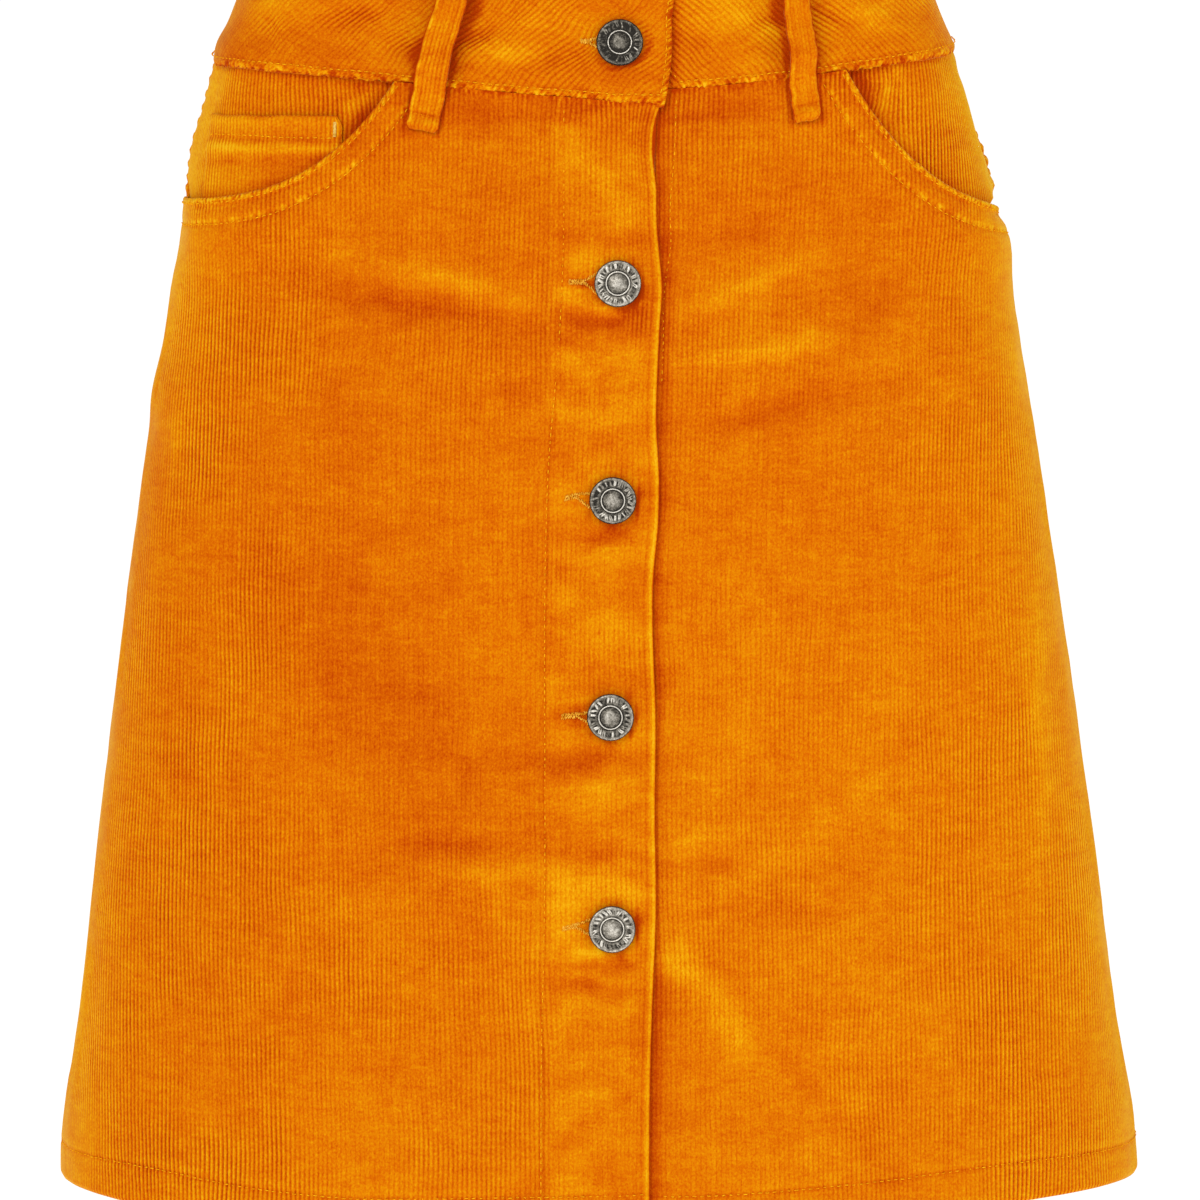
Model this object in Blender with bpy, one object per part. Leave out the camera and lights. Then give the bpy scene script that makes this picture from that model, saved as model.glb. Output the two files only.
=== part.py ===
"""A short corduroy A-line skirt that buttons down the front, filled out as when worn.

Metres, +Z up, the front faces -Y and the wearer's right is -X. The origin is the middle of the
waist, level with the top button. Sizes are in millimetres and turned into metres by place().

The whole garment is drawn on one form: a stack of rounded cross-sections. A place on the cloth is
(arc, height): arc is the distance round the form from the centre front, plus to the wearer's left,
and height is z. A piece is a patch between four edge lines on that form, given a wall thickness.
"""

from collections import namedtuple

import bmesh
import bpy
import numpy as np

MM = 0.001

# Cloth
SEAM_GAP = 0.3
CLOTH = 1.6
HEM_BAND = 15.0
HEM_CLOTH = 3.0
HEM_STEP = 1.0
BAND_HEIGHT = 42.0
BAND_CLOTH = 3.0
BAND_PROUD = 1.0

# Front closing: the right front laps over the left one and buttons to it
LAP = 16.0
PLACKET = 22.6
PLACKET_CLOTH = 2.4
PLACKET_RISE = 1.3
UNDERLAP_CLOTH = 2.2
LAP_RAMP = 12.0
RISE_RAMP = 5.0

# Scoop pockets: the cut-away edge of the front, the facing behind it and a small coin pocket
POCKET_START = 83.5
POCKET_CURVE = 4.1
POCKET_DROP = {"right": 44.5, "left": 51.0}
POCKET_WELT = 10.0
POCKET_RISE = 1.9
POCKET_RISE_ENDS = 36.0
POCKET_SIDE_RISE = 0.5
POCKET_SIDE_RAMP = (165.0, 187.0)
FACING_CLOTH = 1.3
FACING_DEPTH = 2.1
FACING_START = 70.0
FACING_BELOW = 44.0
FACING_PAST_SEAM = 4.0
COIN_TOP = -27.0
COIN_FRONT = 103.0
COIN_BACK = 165.0
COIN_BELOW = 12.0
COIN_CLOTH = 1.1

# Belt loops
LOOP_WIDTH = 11.0
LOOP_CLOTH = 1.8
LOOP_CLEARANCE = 0.6
LOOP_GAP = 6.0
LOOP_ENDS = (-13.0, 41.0)
LOOP_SEAM_STEP = (-4.3, -1.0)
LOOP_FOOT = (-1.0, 6.0)
LOOP_HEAD = (33.0, 38.5)

# Buttons: flat rim, raised ring and a low dome, on a shank through a round hole
BUTTON_ARC = 0.5
BUTTON_HEIGHTS = (0.0, -88.0, -167.0, -246.0, -323.0)
SHANK_RADIUS = 3.2
BUTTONHOLE_RADIUS = 3.8
HEAD_CLEARANCE = 0.6

# How finely things are divided: steps across first, then steps up. A front has a stretch of steps
# to its pocket and one past it, and a panel has closer rows over the hips.
LAP_STEPS = 4
UNDERLAP_STEPS = 3
RISE_STEPS = 2
DIP_STEPS = 3
FRONT_STEPS = (7, 16)
BACK_STEPS = 24
PANEL_ROWS = 7
HIPS_SHARE = 0.7
BAND_STEPS = (34, 5)
FACING_STEPS = (17, 7)
COIN_STEPS = (9, 4)
LOOP_FLAT_STEPS = 3
LOOP_BEND_STEPS = 4
BUTTON_STEPS = 20
HOLE_STEPS = 12
FORM_ROWS = 240
FORM_STEPS = 720
OUTLINE_STEPS = 8 * FORM_STEPS
NORMAL_REACH = 3.0
SHARP_ANGLE = 40.0

# Cross-sections of the form: half widths and depths, how square each side is, sideways lean and turn
Section = namedtuple("Section", "height half_width front back front_power back_power lean twist")
SECTIONS = (
    Section(54.0, 127.5, 55.5, 73.0, 3.0, 2.3, -2.9, 14.2),
    Section(17.0, 129.4, 60.5, 80.5, 3.0, 2.3, -2.5, 13.2),
    Section(5.0, 134.0, 62.0, 83.5, 3.0, 2.3, -2.4, 12.8),
    Section(-6.0, 139.0, 64.0, 86.0, 3.0, 2.3, -2.1, 12.5),
    Section(-33.0, 147.0, 68.0, 94.0, 2.9, 2.3, -1.4, 11.5),
    Section(-67.0, 155.4, 73.5, 104.5, 2.9, 2.3, -0.6, 10.3),
    Section(-102.0, 159.9, 78.5, 113.0, 2.8, 2.3, -0.4, 9.0),
    Section(-170.0, 170.9, 84.5, 118.0, 2.7, 2.3, -0.3, 7.0),
    Section(-239.0, 180.5, 89.5, 117.0, 2.6, 2.3, 0.3, 5.9),
    Section(-308.0, 189.6, 95.0, 114.0, 2.5, 2.3, 1.0, 5.2),
    Section(-376.0, 198.6, 100.5, 114.0, 2.4, 2.3, 1.8, 5.0),
    Section(-411.0, 204.6, 104.0, 114.0, 2.3, 2.3, 2.2, 5.0),
    Section(-428.0, 205.8, 105.5, 114.0, 2.3, 2.3, 2.4, 5.0),
    Section(-450.0, 206.0, 107.0, 114.0, 2.3, 2.3, 2.5, 5.0),
)

# Heights of the waist seam and the hem on each half, from the front (share 0) to the back (share 1)
Edges = namedtuple("Edges", "share waist_right waist_left hem_right hem_left")
EDGES = (
    Edges(0.0, -21.2, -17.3, -437.5, -437.0),
    Edges(0.1, -18.2, -15.2, -440.0, -435.6),
    Edges(0.2, -14.9, -11.2, -437.8, -432.6),
    Edges(0.3, -11.6, -6.6, -434.4, -429.4),
    Edges(0.4, -9.2, -3.2, -431.4, -427.6),
    Edges(0.5, -8.0, -1.6, -431.0, -429.2),
    Edges(0.75, -0.5, 2.6, -436.0, -435.5),
    Edges(1.0, 6.0, 6.0, -440.0, -440.0),
)
WAIST_GIRTH_AT = -15.0
HEM_GIRTH_AT = -435.0

# Broad soft folds: middle of each, its reach along and across itself, how far it stands out, its turn
Fold = namedtuple("Fold", "arc height length width depth turn")
FOLDS = (
    Fold(66.0, -46.0, 60.0, 20.0, 1.3, 8.0),
    Fold(-48.0, -64.0, 52.0, 20.0, 0.9, -14.0),
    Fold(52.0, -118.0, 46.0, 22.0, 1.2, 24.0),
    Fold(110.0, -205.0, 90.0, 32.0, -1.6, 72.0),
    Fold(-120.0, -265.0, 90.0, 34.0, -1.6, -76.0),
    Fold(190.0, -335.0, 90.0, 30.0, 1.5, 85.0),
    Fold(-200.0, -350.0, 80.0, 28.0, 1.5, -85.0),
    Fold(70.0, -352.0, 52.0, 24.0, 1.2, 18.0),
    Fold(330.0, -110.0, 60.0, 22.0, 1.6, 6.0),
    Fold(-320.0, -130.0, 55.0, 22.0, 1.5, -8.0),
    Fold(395.0, -300.0, 90.0, 34.0, 2.2, 84.0),
    Fold(-390.0, -310.0, 90.0, 34.0, 2.2, -86.0),
)

# Where each loop stands, as a share of the half girth from the front, and how far it leans
Loop = namedtuple("Loop", "name half share lean")
LOOPS = (
    Loop("belt_loop_front_right", "right", 0.1915, 0.0),
    Loop("belt_loop_front_left", "left", 0.185, 0.1),
    Loop("belt_loop_back_right", "right", 0.80, 0.0),
    Loop("belt_loop_back_left", "left", 0.80, 0.0),
    Loop("belt_loop_back_centre", "left", 1.0, 0.0),
)

# Turned outline of a button's head from the shank over the rim to the middle, heights above the lap
Turn = namedtuple("Turn", "radius height")
BUTTON_HEAD = (
    Turn(SHANK_RADIUS, HEAD_CLEARANCE),
    Turn(7.8, HEAD_CLEARANCE),
    Turn(8.5, 1.2),
    Turn(8.45, 1.9),
    Turn(8.0, 2.3),
    Turn(5.5, 2.4),
    Turn(5.1, 2.0),
    Turn(4.6, 2.6),
    Turn(4.1, 2.1),
    Turn(2.2, 2.4),
    Turn(0.0, 2.5),
)

# Colour, roughness and metallic value
CORDUROY = ((0.76, 0.17, 0.004), 0.85, 0.0)
AGED_METAL = ((0.24, 0.21, 0.17), 0.4, 1.0)

SIDE_SIGN = {"right": -1, "left": 1}


def column(rows, name):
    """One named column of a table of rows."""
    return np.array([getattr(row, name) for row in rows])


def smooth(at, knots, values):
    """A smooth curve through a short table: cubic pieces with the table's own slopes."""
    order = np.argsort(knots)
    knots = knots[order]
    values = values[order]
    slopes = np.gradient(values, knots)
    piece = np.clip(np.searchsorted(knots, at) - 1, 0, len(knots) - 2)
    span = knots[piece + 1] - knots[piece]
    t = np.clip((at - knots[piece]) / span, 0.0, 1.0)
    value = (1 + 2 * t) * (1 - t) ** 2 * values[piece] + t * t * (3 - 2 * t) * values[piece + 1]
    slope = t * (1 - t) ** 2 * slopes[piece] + t * t * (t - 1) * slopes[piece + 1]
    return value + slope * span


def ease(value, start, end):
    """0 before start, 1 after end, and an even S between them."""
    t = np.clip((value - start) / (end - start), 0.0, 1.0)
    return t * t * (3 - 2 * t)


# The form


def section_at(height, name):
    return smooth(height, column(SECTIONS, "height"), column(SECTIONS, name))


def outline(height):
    """One cross-section at even distances round it, from the back over the right side to the back."""
    turn = np.linspace(-np.pi, np.pi, OUTLINE_STEPS + 1)
    across = np.sin(turn)
    forward = np.cos(turn)
    depth = np.where(forward > 0, section_at(height, "front"), section_at(height, "back"))
    power = np.where(forward > 0, section_at(height, "front_power"), section_at(height, "back_power"))
    x = section_at(height, "half_width") * np.sign(across) * np.abs(across) ** (2 / power)
    x = x + section_at(height, "lean")
    y = -depth * np.sign(forward) * np.abs(forward) ** (2 / power)
    along = np.concatenate([[0.0], np.cumsum(np.hypot(np.diff(x), np.diff(y)))])
    even = np.linspace(0.0, along[-1], FORM_STEPS + 1)
    return np.interp(even, along, x), np.interp(even, along, y), along[-1]


def build_form():
    """The form as a table of evenly spaced points, with the girth at each height."""
    heights = np.linspace(SECTIONS[-1].height, SECTIONS[0].height, FORM_ROWS + 1)
    rows = [outline(height) for height in heights]
    points = np.array([np.stack(row[:2], axis=-1) for row in rows])
    girths = np.array([row[2] for row in rows])
    return heights, points, girths


HEIGHTS, FORM, GIRTHS = build_form()


def girth(height):
    return np.interp(height, HEIGHTS, GIRTHS)


def on_form(arc, height):
    """Points of the bare form at (arc, height), between the four nearest points of its table."""
    arc, height = np.broadcast_arrays(np.asarray(arc, float), np.asarray(height, float))
    round_it = ((arc + section_at(height, "twist")) / girth(height) + 0.5) % 1.0 * FORM_STEPS
    up = (height - HEIGHTS[0]) / (HEIGHTS[1] - HEIGHTS[0])
    i = np.clip(np.floor(up).astype(int), 0, FORM_ROWS - 1)
    j = np.clip(np.floor(round_it).astype(int), 0, FORM_STEPS - 1)
    a = (up - i)[..., None]
    b = (round_it - j)[..., None]
    low = FORM[i, j] * (1 - b) + FORM[i, j + 1] * b
    high = FORM[i + 1, j] * (1 - b) + FORM[i + 1, j + 1] * b
    return np.concatenate([low * (1 - a) + high * a, height[..., None]], axis=-1)


def outward(arc, height):
    """The form's outward direction, from points a few millimetres to each side."""
    along = on_form(arc + NORMAL_REACH, height) - on_form(arc - NORMAL_REACH, height)
    up = on_form(arc, height + NORMAL_REACH) - on_form(arc, height - NORMAL_REACH)
    normal = np.cross(along, up)
    return normal / np.linalg.norm(normal, axis=-1, keepdims=True)


def fold_relief(arc, height):
    """How far the soft folds push the cloth out, a bell-shaped swelling or hollow for each."""
    half = girth(height) / 2
    relief = np.zeros(np.shape(arc))
    for fold in FOLDS:
        turn = np.radians(fold.turn)
        beside = (arc - fold.arc + half) % (2 * half) - half
        above = height - fold.height
        along = beside * np.cos(turn) + above * np.sin(turn)
        across = above * np.cos(turn) - beside * np.sin(turn)
        relief = relief + fold.depth * np.exp(-((along / fold.length) ** 2) - (across / fold.width) ** 2)
    return relief


def place(arc, height, offset):
    """Points that stand offset millimetres out from the folded form, in metres."""
    arc, height, offset = np.broadcast_arrays(arc, height, offset)
    out = offset + fold_relief(arc, height)
    return (on_form(arc, height) + outward(arc, height) * out[..., None]) * MM


# Lines on the cloth. Here "away" is the distance from the centre front towards that half's side seam.


def edge_height(away, half, edge, girth_at):
    share = np.clip(away, 0.0, None) / (girth(girth_at) / 2)
    return smooth(share, column(EDGES, "share"), column(EDGES, edge + "_" + half))


def waist_seam(away, half):
    return edge_height(away, half, "waist", WAIST_GIRTH_AT)


def hem(away, half):
    return edge_height(away, half, "hem", HEM_GIRTH_AT)


def side_seam(height):
    """The side seams lie a quarter of the girth from the centre front."""
    return girth(height) / 4


def scoop(away, half):
    """Pocket edge: steep where it leaves the waist seam, level where it meets the side seam."""
    start = waist_seam(POCKET_START, half)
    run = side_seam(start - POCKET_DROP[half]) - POCKET_START
    t = np.clip((away - POCKET_START) / run, 0.0, 1.0)
    return start - POCKET_DROP[half] * (1 - (1 - t) ** POCKET_CURVE)


# Pieces


def material(name, colour, roughness, metallic):
    made = bpy.data.materials.new(name)
    made.use_nodes = True
    shader = made.node_tree.nodes["Principled BSDF"]
    shader.inputs["Base Color"].default_value = (*colour, 1.0)
    shader.inputs["Roughness"].default_value = roughness
    shader.inputs["Metallic"].default_value = metallic
    return made


def add_object(name, points, faces, finish):
    """One closed body with its faces turned out."""
    mesh = bpy.data.meshes.new(name)
    mesh.from_pydata(points.tolist(), [], faces)
    body = bmesh.new()
    body.from_mesh(mesh)
    bmesh.ops.recalc_face_normals(body, faces=body.faces)
    bmesh.ops.triangulate(body, faces=body.faces)
    body.to_mesh(mesh)
    body.free()
    mesh.shade_smooth()
    mesh.set_sharp_from_angle(angle=np.radians(SHARP_ANGLE))
    mesh.materials.append(material(name, *finish))
    made = bpy.data.objects.new(name, mesh)
    bpy.context.collection.objects.link(made)
    return made


def patch(bottom, top, front, back, levels):
    """A grid of (away, height) between four edge lines that meet at their ends."""
    v = levels[:, None, None]
    w = np.linspace(0.0, 1.0, len(bottom))[None, :, None]
    ruled = (1 - v) * bottom[None] + v * top[None] + (1 - w) * front[:, None] + w * back[:, None]
    corners = (1 - v) * ((1 - w) * bottom[0] + w * bottom[-1]) + v * ((1 - w) * top[0] + w * top[-1])
    grid = ruled - corners
    return grid[..., 0], grid[..., 1]


def wall(name, away, height, outer, thickness, half, finish):
    """A cloth wall over a grid: its outer face, its inner face and the four rims between them."""
    arc = SIDE_SIGN[half] * away
    faces_out = place(arc, height, outer).reshape(-1, 3)
    faces_in = place(arc, height, outer - thickness).reshape(-1, 3)
    number = np.arange(away.size).reshape(away.shape)
    quads = np.stack([number[:-1, :-1], number[:-1, 1:], number[1:, 1:], number[1:, :-1]], axis=-1)
    quads = quads.reshape(-1, 4)
    ring = np.concatenate([number[0, :-1], number[:-1, -1], number[-1, :0:-1], number[:0:-1, 0]])
    after = np.roll(ring, -1)
    rim = np.stack([after, ring, ring + away.size, after + away.size], axis=-1)
    faces = quads.tolist() + (quads[:, ::-1] + away.size).tolist() + rim.tolist()
    return add_object(name, np.concatenate([faces_out, faces_in]), faces, finish)


def line(away, height):
    away, height = np.broadcast_arrays(np.asarray(away, float), np.asarray(height, float))
    return np.stack([away, height], axis=-1)


def spaced(*stretches):
    """Numbers through (start, end, steps) stretches that follow on from each other."""
    runs = [np.linspace(start, end, steps, endpoint=False) for start, end, steps in stretches]
    return np.concatenate(runs + [[stretches[-1][1]]])


def between(low, high, levels):
    return low + levels * (high - low)


def panel_levels():
    """Rows of a panel: the turned hem first, ending in a step, then closer rows over the hips."""
    length = WAIST_GIRTH_AT - HEM_GIRTH_AT
    band_top = HEM_BAND / length
    step_top = (HEM_BAND + HEM_STEP) / length
    return spaced(
        (0.0, band_top, 1),
        (band_top, step_top, 1),
        (step_top, HIPS_SHARE, PANEL_ROWS),
        (HIPS_SHARE, 1.0, PANEL_ROWS),
    )


def lap_columns(half):
    """Column places over the lap and its slope, the same for a front and its waistband."""
    if half == "right":
        return [(-LAP, PLACKET, LAP_STEPS), (PLACKET, PLACKET + RISE_RAMP, RISE_STEPS)]
    return [(SEAM_GAP - LAP, LAP, UNDERLAP_STEPS), (LAP, LAP + LAP_RAMP, DIP_STEPS)]


def lap_rise(away):
    """The placket is two layers of cloth, so it stands out up to its stitching."""
    return PLACKET_RISE * (1 - ease(away, PLACKET, PLACKET + RISE_RAMP))


def lap_dip(away, depth):
    """The left half sinks to pass under the lap."""
    return -depth * (1 - ease(away, LAP, LAP + LAP_RAMP))


def pocket_rise(away, height, half):
    """The layers of a pocket lift the front's cut-away edge."""
    below = scoop(away, half) - height
    fade = 1 - ease(below, POCKET_WELT, POCKET_RISE_ENDS)
    most = POCKET_RISE + (POCKET_SIDE_RISE - POCKET_RISE) * ease(away, *POCKET_SIDE_RAMP)
    return most * fade * ease(away, POCKET_START - POCKET_WELT, POCKET_START + POCKET_WELT)


def front_panel(half):
    levels = panel_levels()
    lap = lap_columns(half)
    edge, flat = lap[0][0], lap[-1][1]
    low_end = hem(side_seam(HEM_GIRTH_AT), half)
    high_end = scoop(side_seam(low_end), half)
    low = spaced(*lap, (flat, side_seam(low_end) - SEAM_GAP / 2, sum(FRONT_STEPS)))
    high = spaced(
        *lap,
        (flat, POCKET_START, FRONT_STEPS[0]),
        (POCKET_START, side_seam(high_end) - SEAM_GAP / 2, FRONT_STEPS[1]),
    )
    top = np.where(high < POCKET_START, waist_seam(high, half), scoop(high, half)) - SEAM_GAP
    side = between(low_end, high_end - SEAM_GAP, levels)
    away, height = patch(
        line(low, hem(low, half)),
        line(high, top),
        line(edge, between(hem(edge, half), top[0], levels)),
        line(side_seam(side) - SEAM_GAP / 2, side),
        levels,
    )
    outer = pocket_rise(away, height, half)
    thickness = np.full(away.shape, CLOTH)
    thickness[:2] = HEM_CLOTH
    if half == "right":
        outer = outer + lap_rise(away)
        thickness[away < PLACKET + SEAM_GAP] = PLACKET_CLOTH
    else:
        outer = outer + lap_dip(away, PLACKET_CLOTH - PLACKET_RISE + SEAM_GAP)
        thickness[away < PLACKET + SEAM_GAP] = UNDERLAP_CLOTH
    return wall("front_panel_" + half, away, height, outer, thickness, half, CORDUROY)


def back_panel(half):
    levels = panel_levels()
    low_end = hem(side_seam(HEM_GIRTH_AT), half)
    high_end = waist_seam(side_seam(WAIST_GIRTH_AT), half) - SEAM_GAP
    side = between(low_end, high_end, levels)
    middle_low = hem(girth(HEM_GIRTH_AT) / 2, half)
    middle_high = waist_seam(girth(0.0) / 2, half) - SEAM_GAP
    middle = between(middle_low, middle_high, levels)
    side_line = line(side_seam(side) + SEAM_GAP / 2, side)
    middle_line = line(girth(middle) / 2 - SEAM_GAP / 2, middle)
    low = np.linspace(side_line[0, 0], middle_line[0, 0], BACK_STEPS + 1)
    high = np.linspace(side_line[-1, 0], middle_line[-1, 0], BACK_STEPS + 1)
    bottom = line(low, hem(low, half))
    top = line(high, waist_seam(high, half) - SEAM_GAP)
    away, height = patch(bottom, top, side_line, middle_line, levels)
    thickness = np.full(away.shape, CLOTH)
    thickness[:2] = HEM_CLOTH
    return wall("back_panel_" + half, away, height, np.zeros(away.shape), thickness, half, CORDUROY)


def waistband(half):
    steps, rows = BAND_STEPS
    levels = np.linspace(0.0, 1.0, rows + 1)
    lap = lap_columns(half)
    edge, flat = lap[0][0], lap[-1][1]
    front = waist_seam(0.0, half) + levels * BAND_HEIGHT
    back = waist_seam(girth(0.0) / 2, half) + levels * BAND_HEIGHT
    back_line = line(girth(back) / 2 - SEAM_GAP / 2, back)
    low = spaced(*lap, (flat, back_line[0, 0], steps))
    high = spaced(*lap, (flat, back_line[-1, 0], steps))
    away, height = patch(
        line(low, waist_seam(low, half)),
        line(high, waist_seam(high, half) + BAND_HEIGHT),
        line(edge, front),
        back_line,
        levels,
    )
    if half == "right":
        outer = BAND_PROUD + lap_rise(away)
    else:
        outer = BAND_PROUD + lap_dip(away, BAND_CLOTH - PLACKET_RISE + SEAM_GAP)
    return wall("waistband_" + half, away, height, outer, BAND_CLOTH, half, CORDUROY)


def pocket_facing(half):
    steps, rows = FACING_STEPS
    levels = np.linspace(0.0, 1.0, rows + 1)
    top_end = waist_seam(side_seam(WAIST_GIRTH_AT), half) - SEAM_GAP
    low_end = waist_seam(POCKET_START, half) - POCKET_DROP[half] - FACING_BELOW
    side = between(low_end, top_end, levels)
    side_line = line(side_seam(side) + FACING_PAST_SEAM, side)
    low = np.linspace(FACING_START, side_line[0, 0], steps + 1)
    high = np.linspace(FACING_START, side_line[-1, 0], steps + 1)
    bottom = line(low, scoop(low, half) - FACING_BELOW)
    top = line(high, waist_seam(high, half) - SEAM_GAP)
    front_line = line(FACING_START, between(bottom[0, 1], top[0, 1], levels))
    away, height = patch(bottom, top, front_line, side_line, levels)
    outer = np.full(away.shape, -FACING_DEPTH)
    return wall("pocket_facing_" + half, away, height, outer, FACING_CLOTH, half, CORDUROY)


def coin_pocket():
    """The small pocket on the wearer's right facing; its foot runs under the front."""
    steps, rows = COIN_STEPS
    levels = np.linspace(0.0, 1.0, rows + 1)
    run = np.linspace(COIN_FRONT, COIN_BACK, steps + 1)
    bottom = line(run, scoop(run, "right") - COIN_BELOW)
    top = line(run, COIN_TOP)
    away, height = patch(
        bottom,
        top,
        line(COIN_FRONT, between(bottom[0, 1], COIN_TOP, levels)),
        line(COIN_BACK, between(bottom[-1, 1], COIN_TOP, levels)),
        levels,
    )
    outer = np.full(away.shape, COIN_CLOTH + SEAM_GAP - FACING_DEPTH)
    return wall("coin_pocket", away, height, outer, COIN_CLOTH, "right", CORDUROY)


def belt_loop(loop):
    """A strip sewn down at both ends, standing off the band between them for a belt."""
    level = spaced(
        (LOOP_ENDS[0], LOOP_FOOT[0], LOOP_FLAT_STEPS),
        (*LOOP_FOOT, LOOP_BEND_STEPS),
        (LOOP_FOOT[1], LOOP_HEAD[0], LOOP_FLAT_STEPS),
        (*LOOP_HEAD, LOOP_BEND_STEPS),
        (LOOP_HEAD[1], LOOP_ENDS[1], 1),
    )
    seam = waist_seam(loop.share * girth(WAIST_GIRTH_AT) / 2, loop.half)
    height = (seam + level)[:, None]
    across = np.array([-0.5, 0.0, 0.5])[None, :] * LOOP_WIDTH
    away = loop.share * girth(height) / 2 + loop.lean * level[:, None] + across
    height = np.broadcast_to(height, away.shape)
    on_cloth = LOOP_CLEARANCE + BAND_PROUD * ease(level, *LOOP_SEAM_STEP)
    off_cloth = LOOP_GAP * ease(level, *LOOP_FOOT) * (1 - ease(level, *LOOP_HEAD))
    outer = np.broadcast_to((on_cloth + off_cloth + LOOP_CLOTH)[:, None], away.shape)
    return wall(loop.name, away, height, outer, LOOP_CLOTH, loop.half, CORDUROY)


def turned(name, centre, axis, outline_rows, steps, finish):
    """A solid of revolution about axis from a closed outline that starts and ends on it."""
    aside = np.cross(axis, (0.0, 0.0, 1.0))
    aside = aside / np.linalg.norm(aside)
    upward = np.cross(aside, axis)
    angle = np.linspace(0.0, 2 * np.pi, steps, endpoint=False)[:, None]
    spoke = np.cos(angle) * aside + np.sin(angle) * upward
    rings = [centre + axis * row.height * MM + spoke * row.radius * MM for row in outline_rows[1:-1]]
    poles = [centre + axis * row.height * MM for row in (outline_rows[0], outline_rows[-1])]
    points = np.concatenate(rings + [np.array(poles)])
    start, end = len(points) - 2, len(points) - 1
    step = np.arange(steps)
    after = (step + 1) % steps
    faces = []
    for ring in range(len(rings) - 1):
        low, high = ring * steps, (ring + 1) * steps
        faces += np.stack([low + step, low + after, high + after, high + step], axis=-1).tolist()
    faces += [[start, int(b), int(a)] for a, b in zip(step, after)]
    last = (len(rings) - 1) * steps
    faces += [[end, int(last + a), int(last + b)] for a, b in zip(step, after)]
    return add_object(name, points, faces, finish)


def button(number, height):
    """A jeans button: its shank stands on the underlap, its head lies on the lap."""
    lap = PLACKET_RISE
    under = PLACKET_RISE - PLACKET_CLOTH - SEAM_GAP
    if number == 1:
        lap = BAND_PROUD + PLACKET_RISE
        under = lap - BAND_CLOTH - SEAM_GAP
    foot = under + SEAM_GAP - lap
    rows = [Turn(0.0, foot), Turn(SHANK_RADIUS, foot), *BUTTON_HEAD]
    centre = place(BUTTON_ARC, height, lap)
    axis = outward(BUTTON_ARC, height)
    return turned(f"button_{number}", centre, axis, rows, BUTTON_STEPS, AGED_METAL)


def cut_buttonhole(cloth, number, height):
    """A round hole through the lap for one button's shank."""
    centre = place(BUTTON_ARC, height, 0.0)
    axis = outward(BUTTON_ARC, height)
    low, high = -2 * BAND_CLOTH, 2 * BAND_CLOTH
    rows = [Turn(0.0, low), Turn(BUTTONHOLE_RADIUS, low), Turn(BUTTONHOLE_RADIUS, high), Turn(0.0, high)]
    cutter = turned(f"buttonhole_cutter_{number}", centre, axis, rows, HOLE_STEPS, AGED_METAL)
    cutter.hide_render = True
    cutter.display_type = "WIRE"
    cut = cloth.modifiers.new(f"buttonhole_{number}", "BOOLEAN")
    cut.operation = "DIFFERENCE"
    cut.object = cutter


def main():
    for old in list(bpy.data.objects):
        bpy.data.objects.remove(old, do_unlink=True)
    laps = {}
    for half in ("right", "left"):
        laps[half] = (front_panel(half), waistband(half))
        back_panel(half)
        pocket_facing(half)
    coin_pocket()
    for loop in LOOPS:
        belt_loop(loop)
    panel, band = laps["right"]
    for number, height in enumerate(BUTTON_HEIGHTS, start=1):
        button(number, height)
        cut_buttonhole(band if number == 1 else panel, number, height)


main()
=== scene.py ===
import bpy
import numpy as np
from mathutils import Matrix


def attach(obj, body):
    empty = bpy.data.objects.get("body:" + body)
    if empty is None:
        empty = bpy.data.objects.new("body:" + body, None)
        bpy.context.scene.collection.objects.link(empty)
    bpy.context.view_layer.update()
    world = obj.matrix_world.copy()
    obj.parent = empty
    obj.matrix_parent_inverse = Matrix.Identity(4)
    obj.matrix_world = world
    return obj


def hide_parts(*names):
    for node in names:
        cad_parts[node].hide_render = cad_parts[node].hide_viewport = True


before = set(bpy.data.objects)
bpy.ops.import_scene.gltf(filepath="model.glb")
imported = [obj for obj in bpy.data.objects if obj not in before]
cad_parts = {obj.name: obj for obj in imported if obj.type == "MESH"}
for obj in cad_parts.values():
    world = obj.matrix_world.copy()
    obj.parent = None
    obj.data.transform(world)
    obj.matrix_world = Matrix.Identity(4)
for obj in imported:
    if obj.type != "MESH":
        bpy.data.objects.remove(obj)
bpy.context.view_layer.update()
mm = 0.001


def table(columns, *rows):
    # rows of numbers under named columns, kept as one array for each column
    return {name: np.array(values, float) for name, values in zip(columns.split(), zip(*rows))}


# The form that the whole skirt is drawn on, the same as the solids'

sections = table(
    "height halfWidth front back frontPower backPower lean twist",
    (54, 127.5, 55.5, 73, 3, 2.3, -2.9, 14.2),
    (17, 129.4, 60.5, 80.5, 3, 2.3, -2.5, 13.2),
    (5, 134, 62, 83.5, 3, 2.3, -2.4, 12.8),
    (-6, 139, 64, 86, 3, 2.3, -2.1, 12.5),
    (-33, 147, 68, 94, 2.9, 2.3, -1.4, 11.5),
    (-67, 155.4, 73.5, 104.5, 2.9, 2.3, -0.6, 10.3),
    (-102, 159.9, 78.5, 113, 2.8, 2.3, -0.4, 9),
    (-170, 170.9, 84.5, 118, 2.7, 2.3, -0.3, 7),
    (-239, 180.5, 89.5, 117, 2.6, 2.3, 0.3, 5.9),
    (-308, 189.6, 95, 114, 2.5, 2.3, 1, 5.2),
    (-376, 198.6, 100.5, 114, 2.4, 2.3, 1.8, 5),
    (-411, 204.6, 104, 114, 2.3, 2.3, 2.2, 5),
    (-428, 205.8, 105.5, 114, 2.3, 2.3, 2.4, 5),
    (-450, 206, 107, 114, 2.3, 2.3, 2.5, 5),
)

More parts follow.
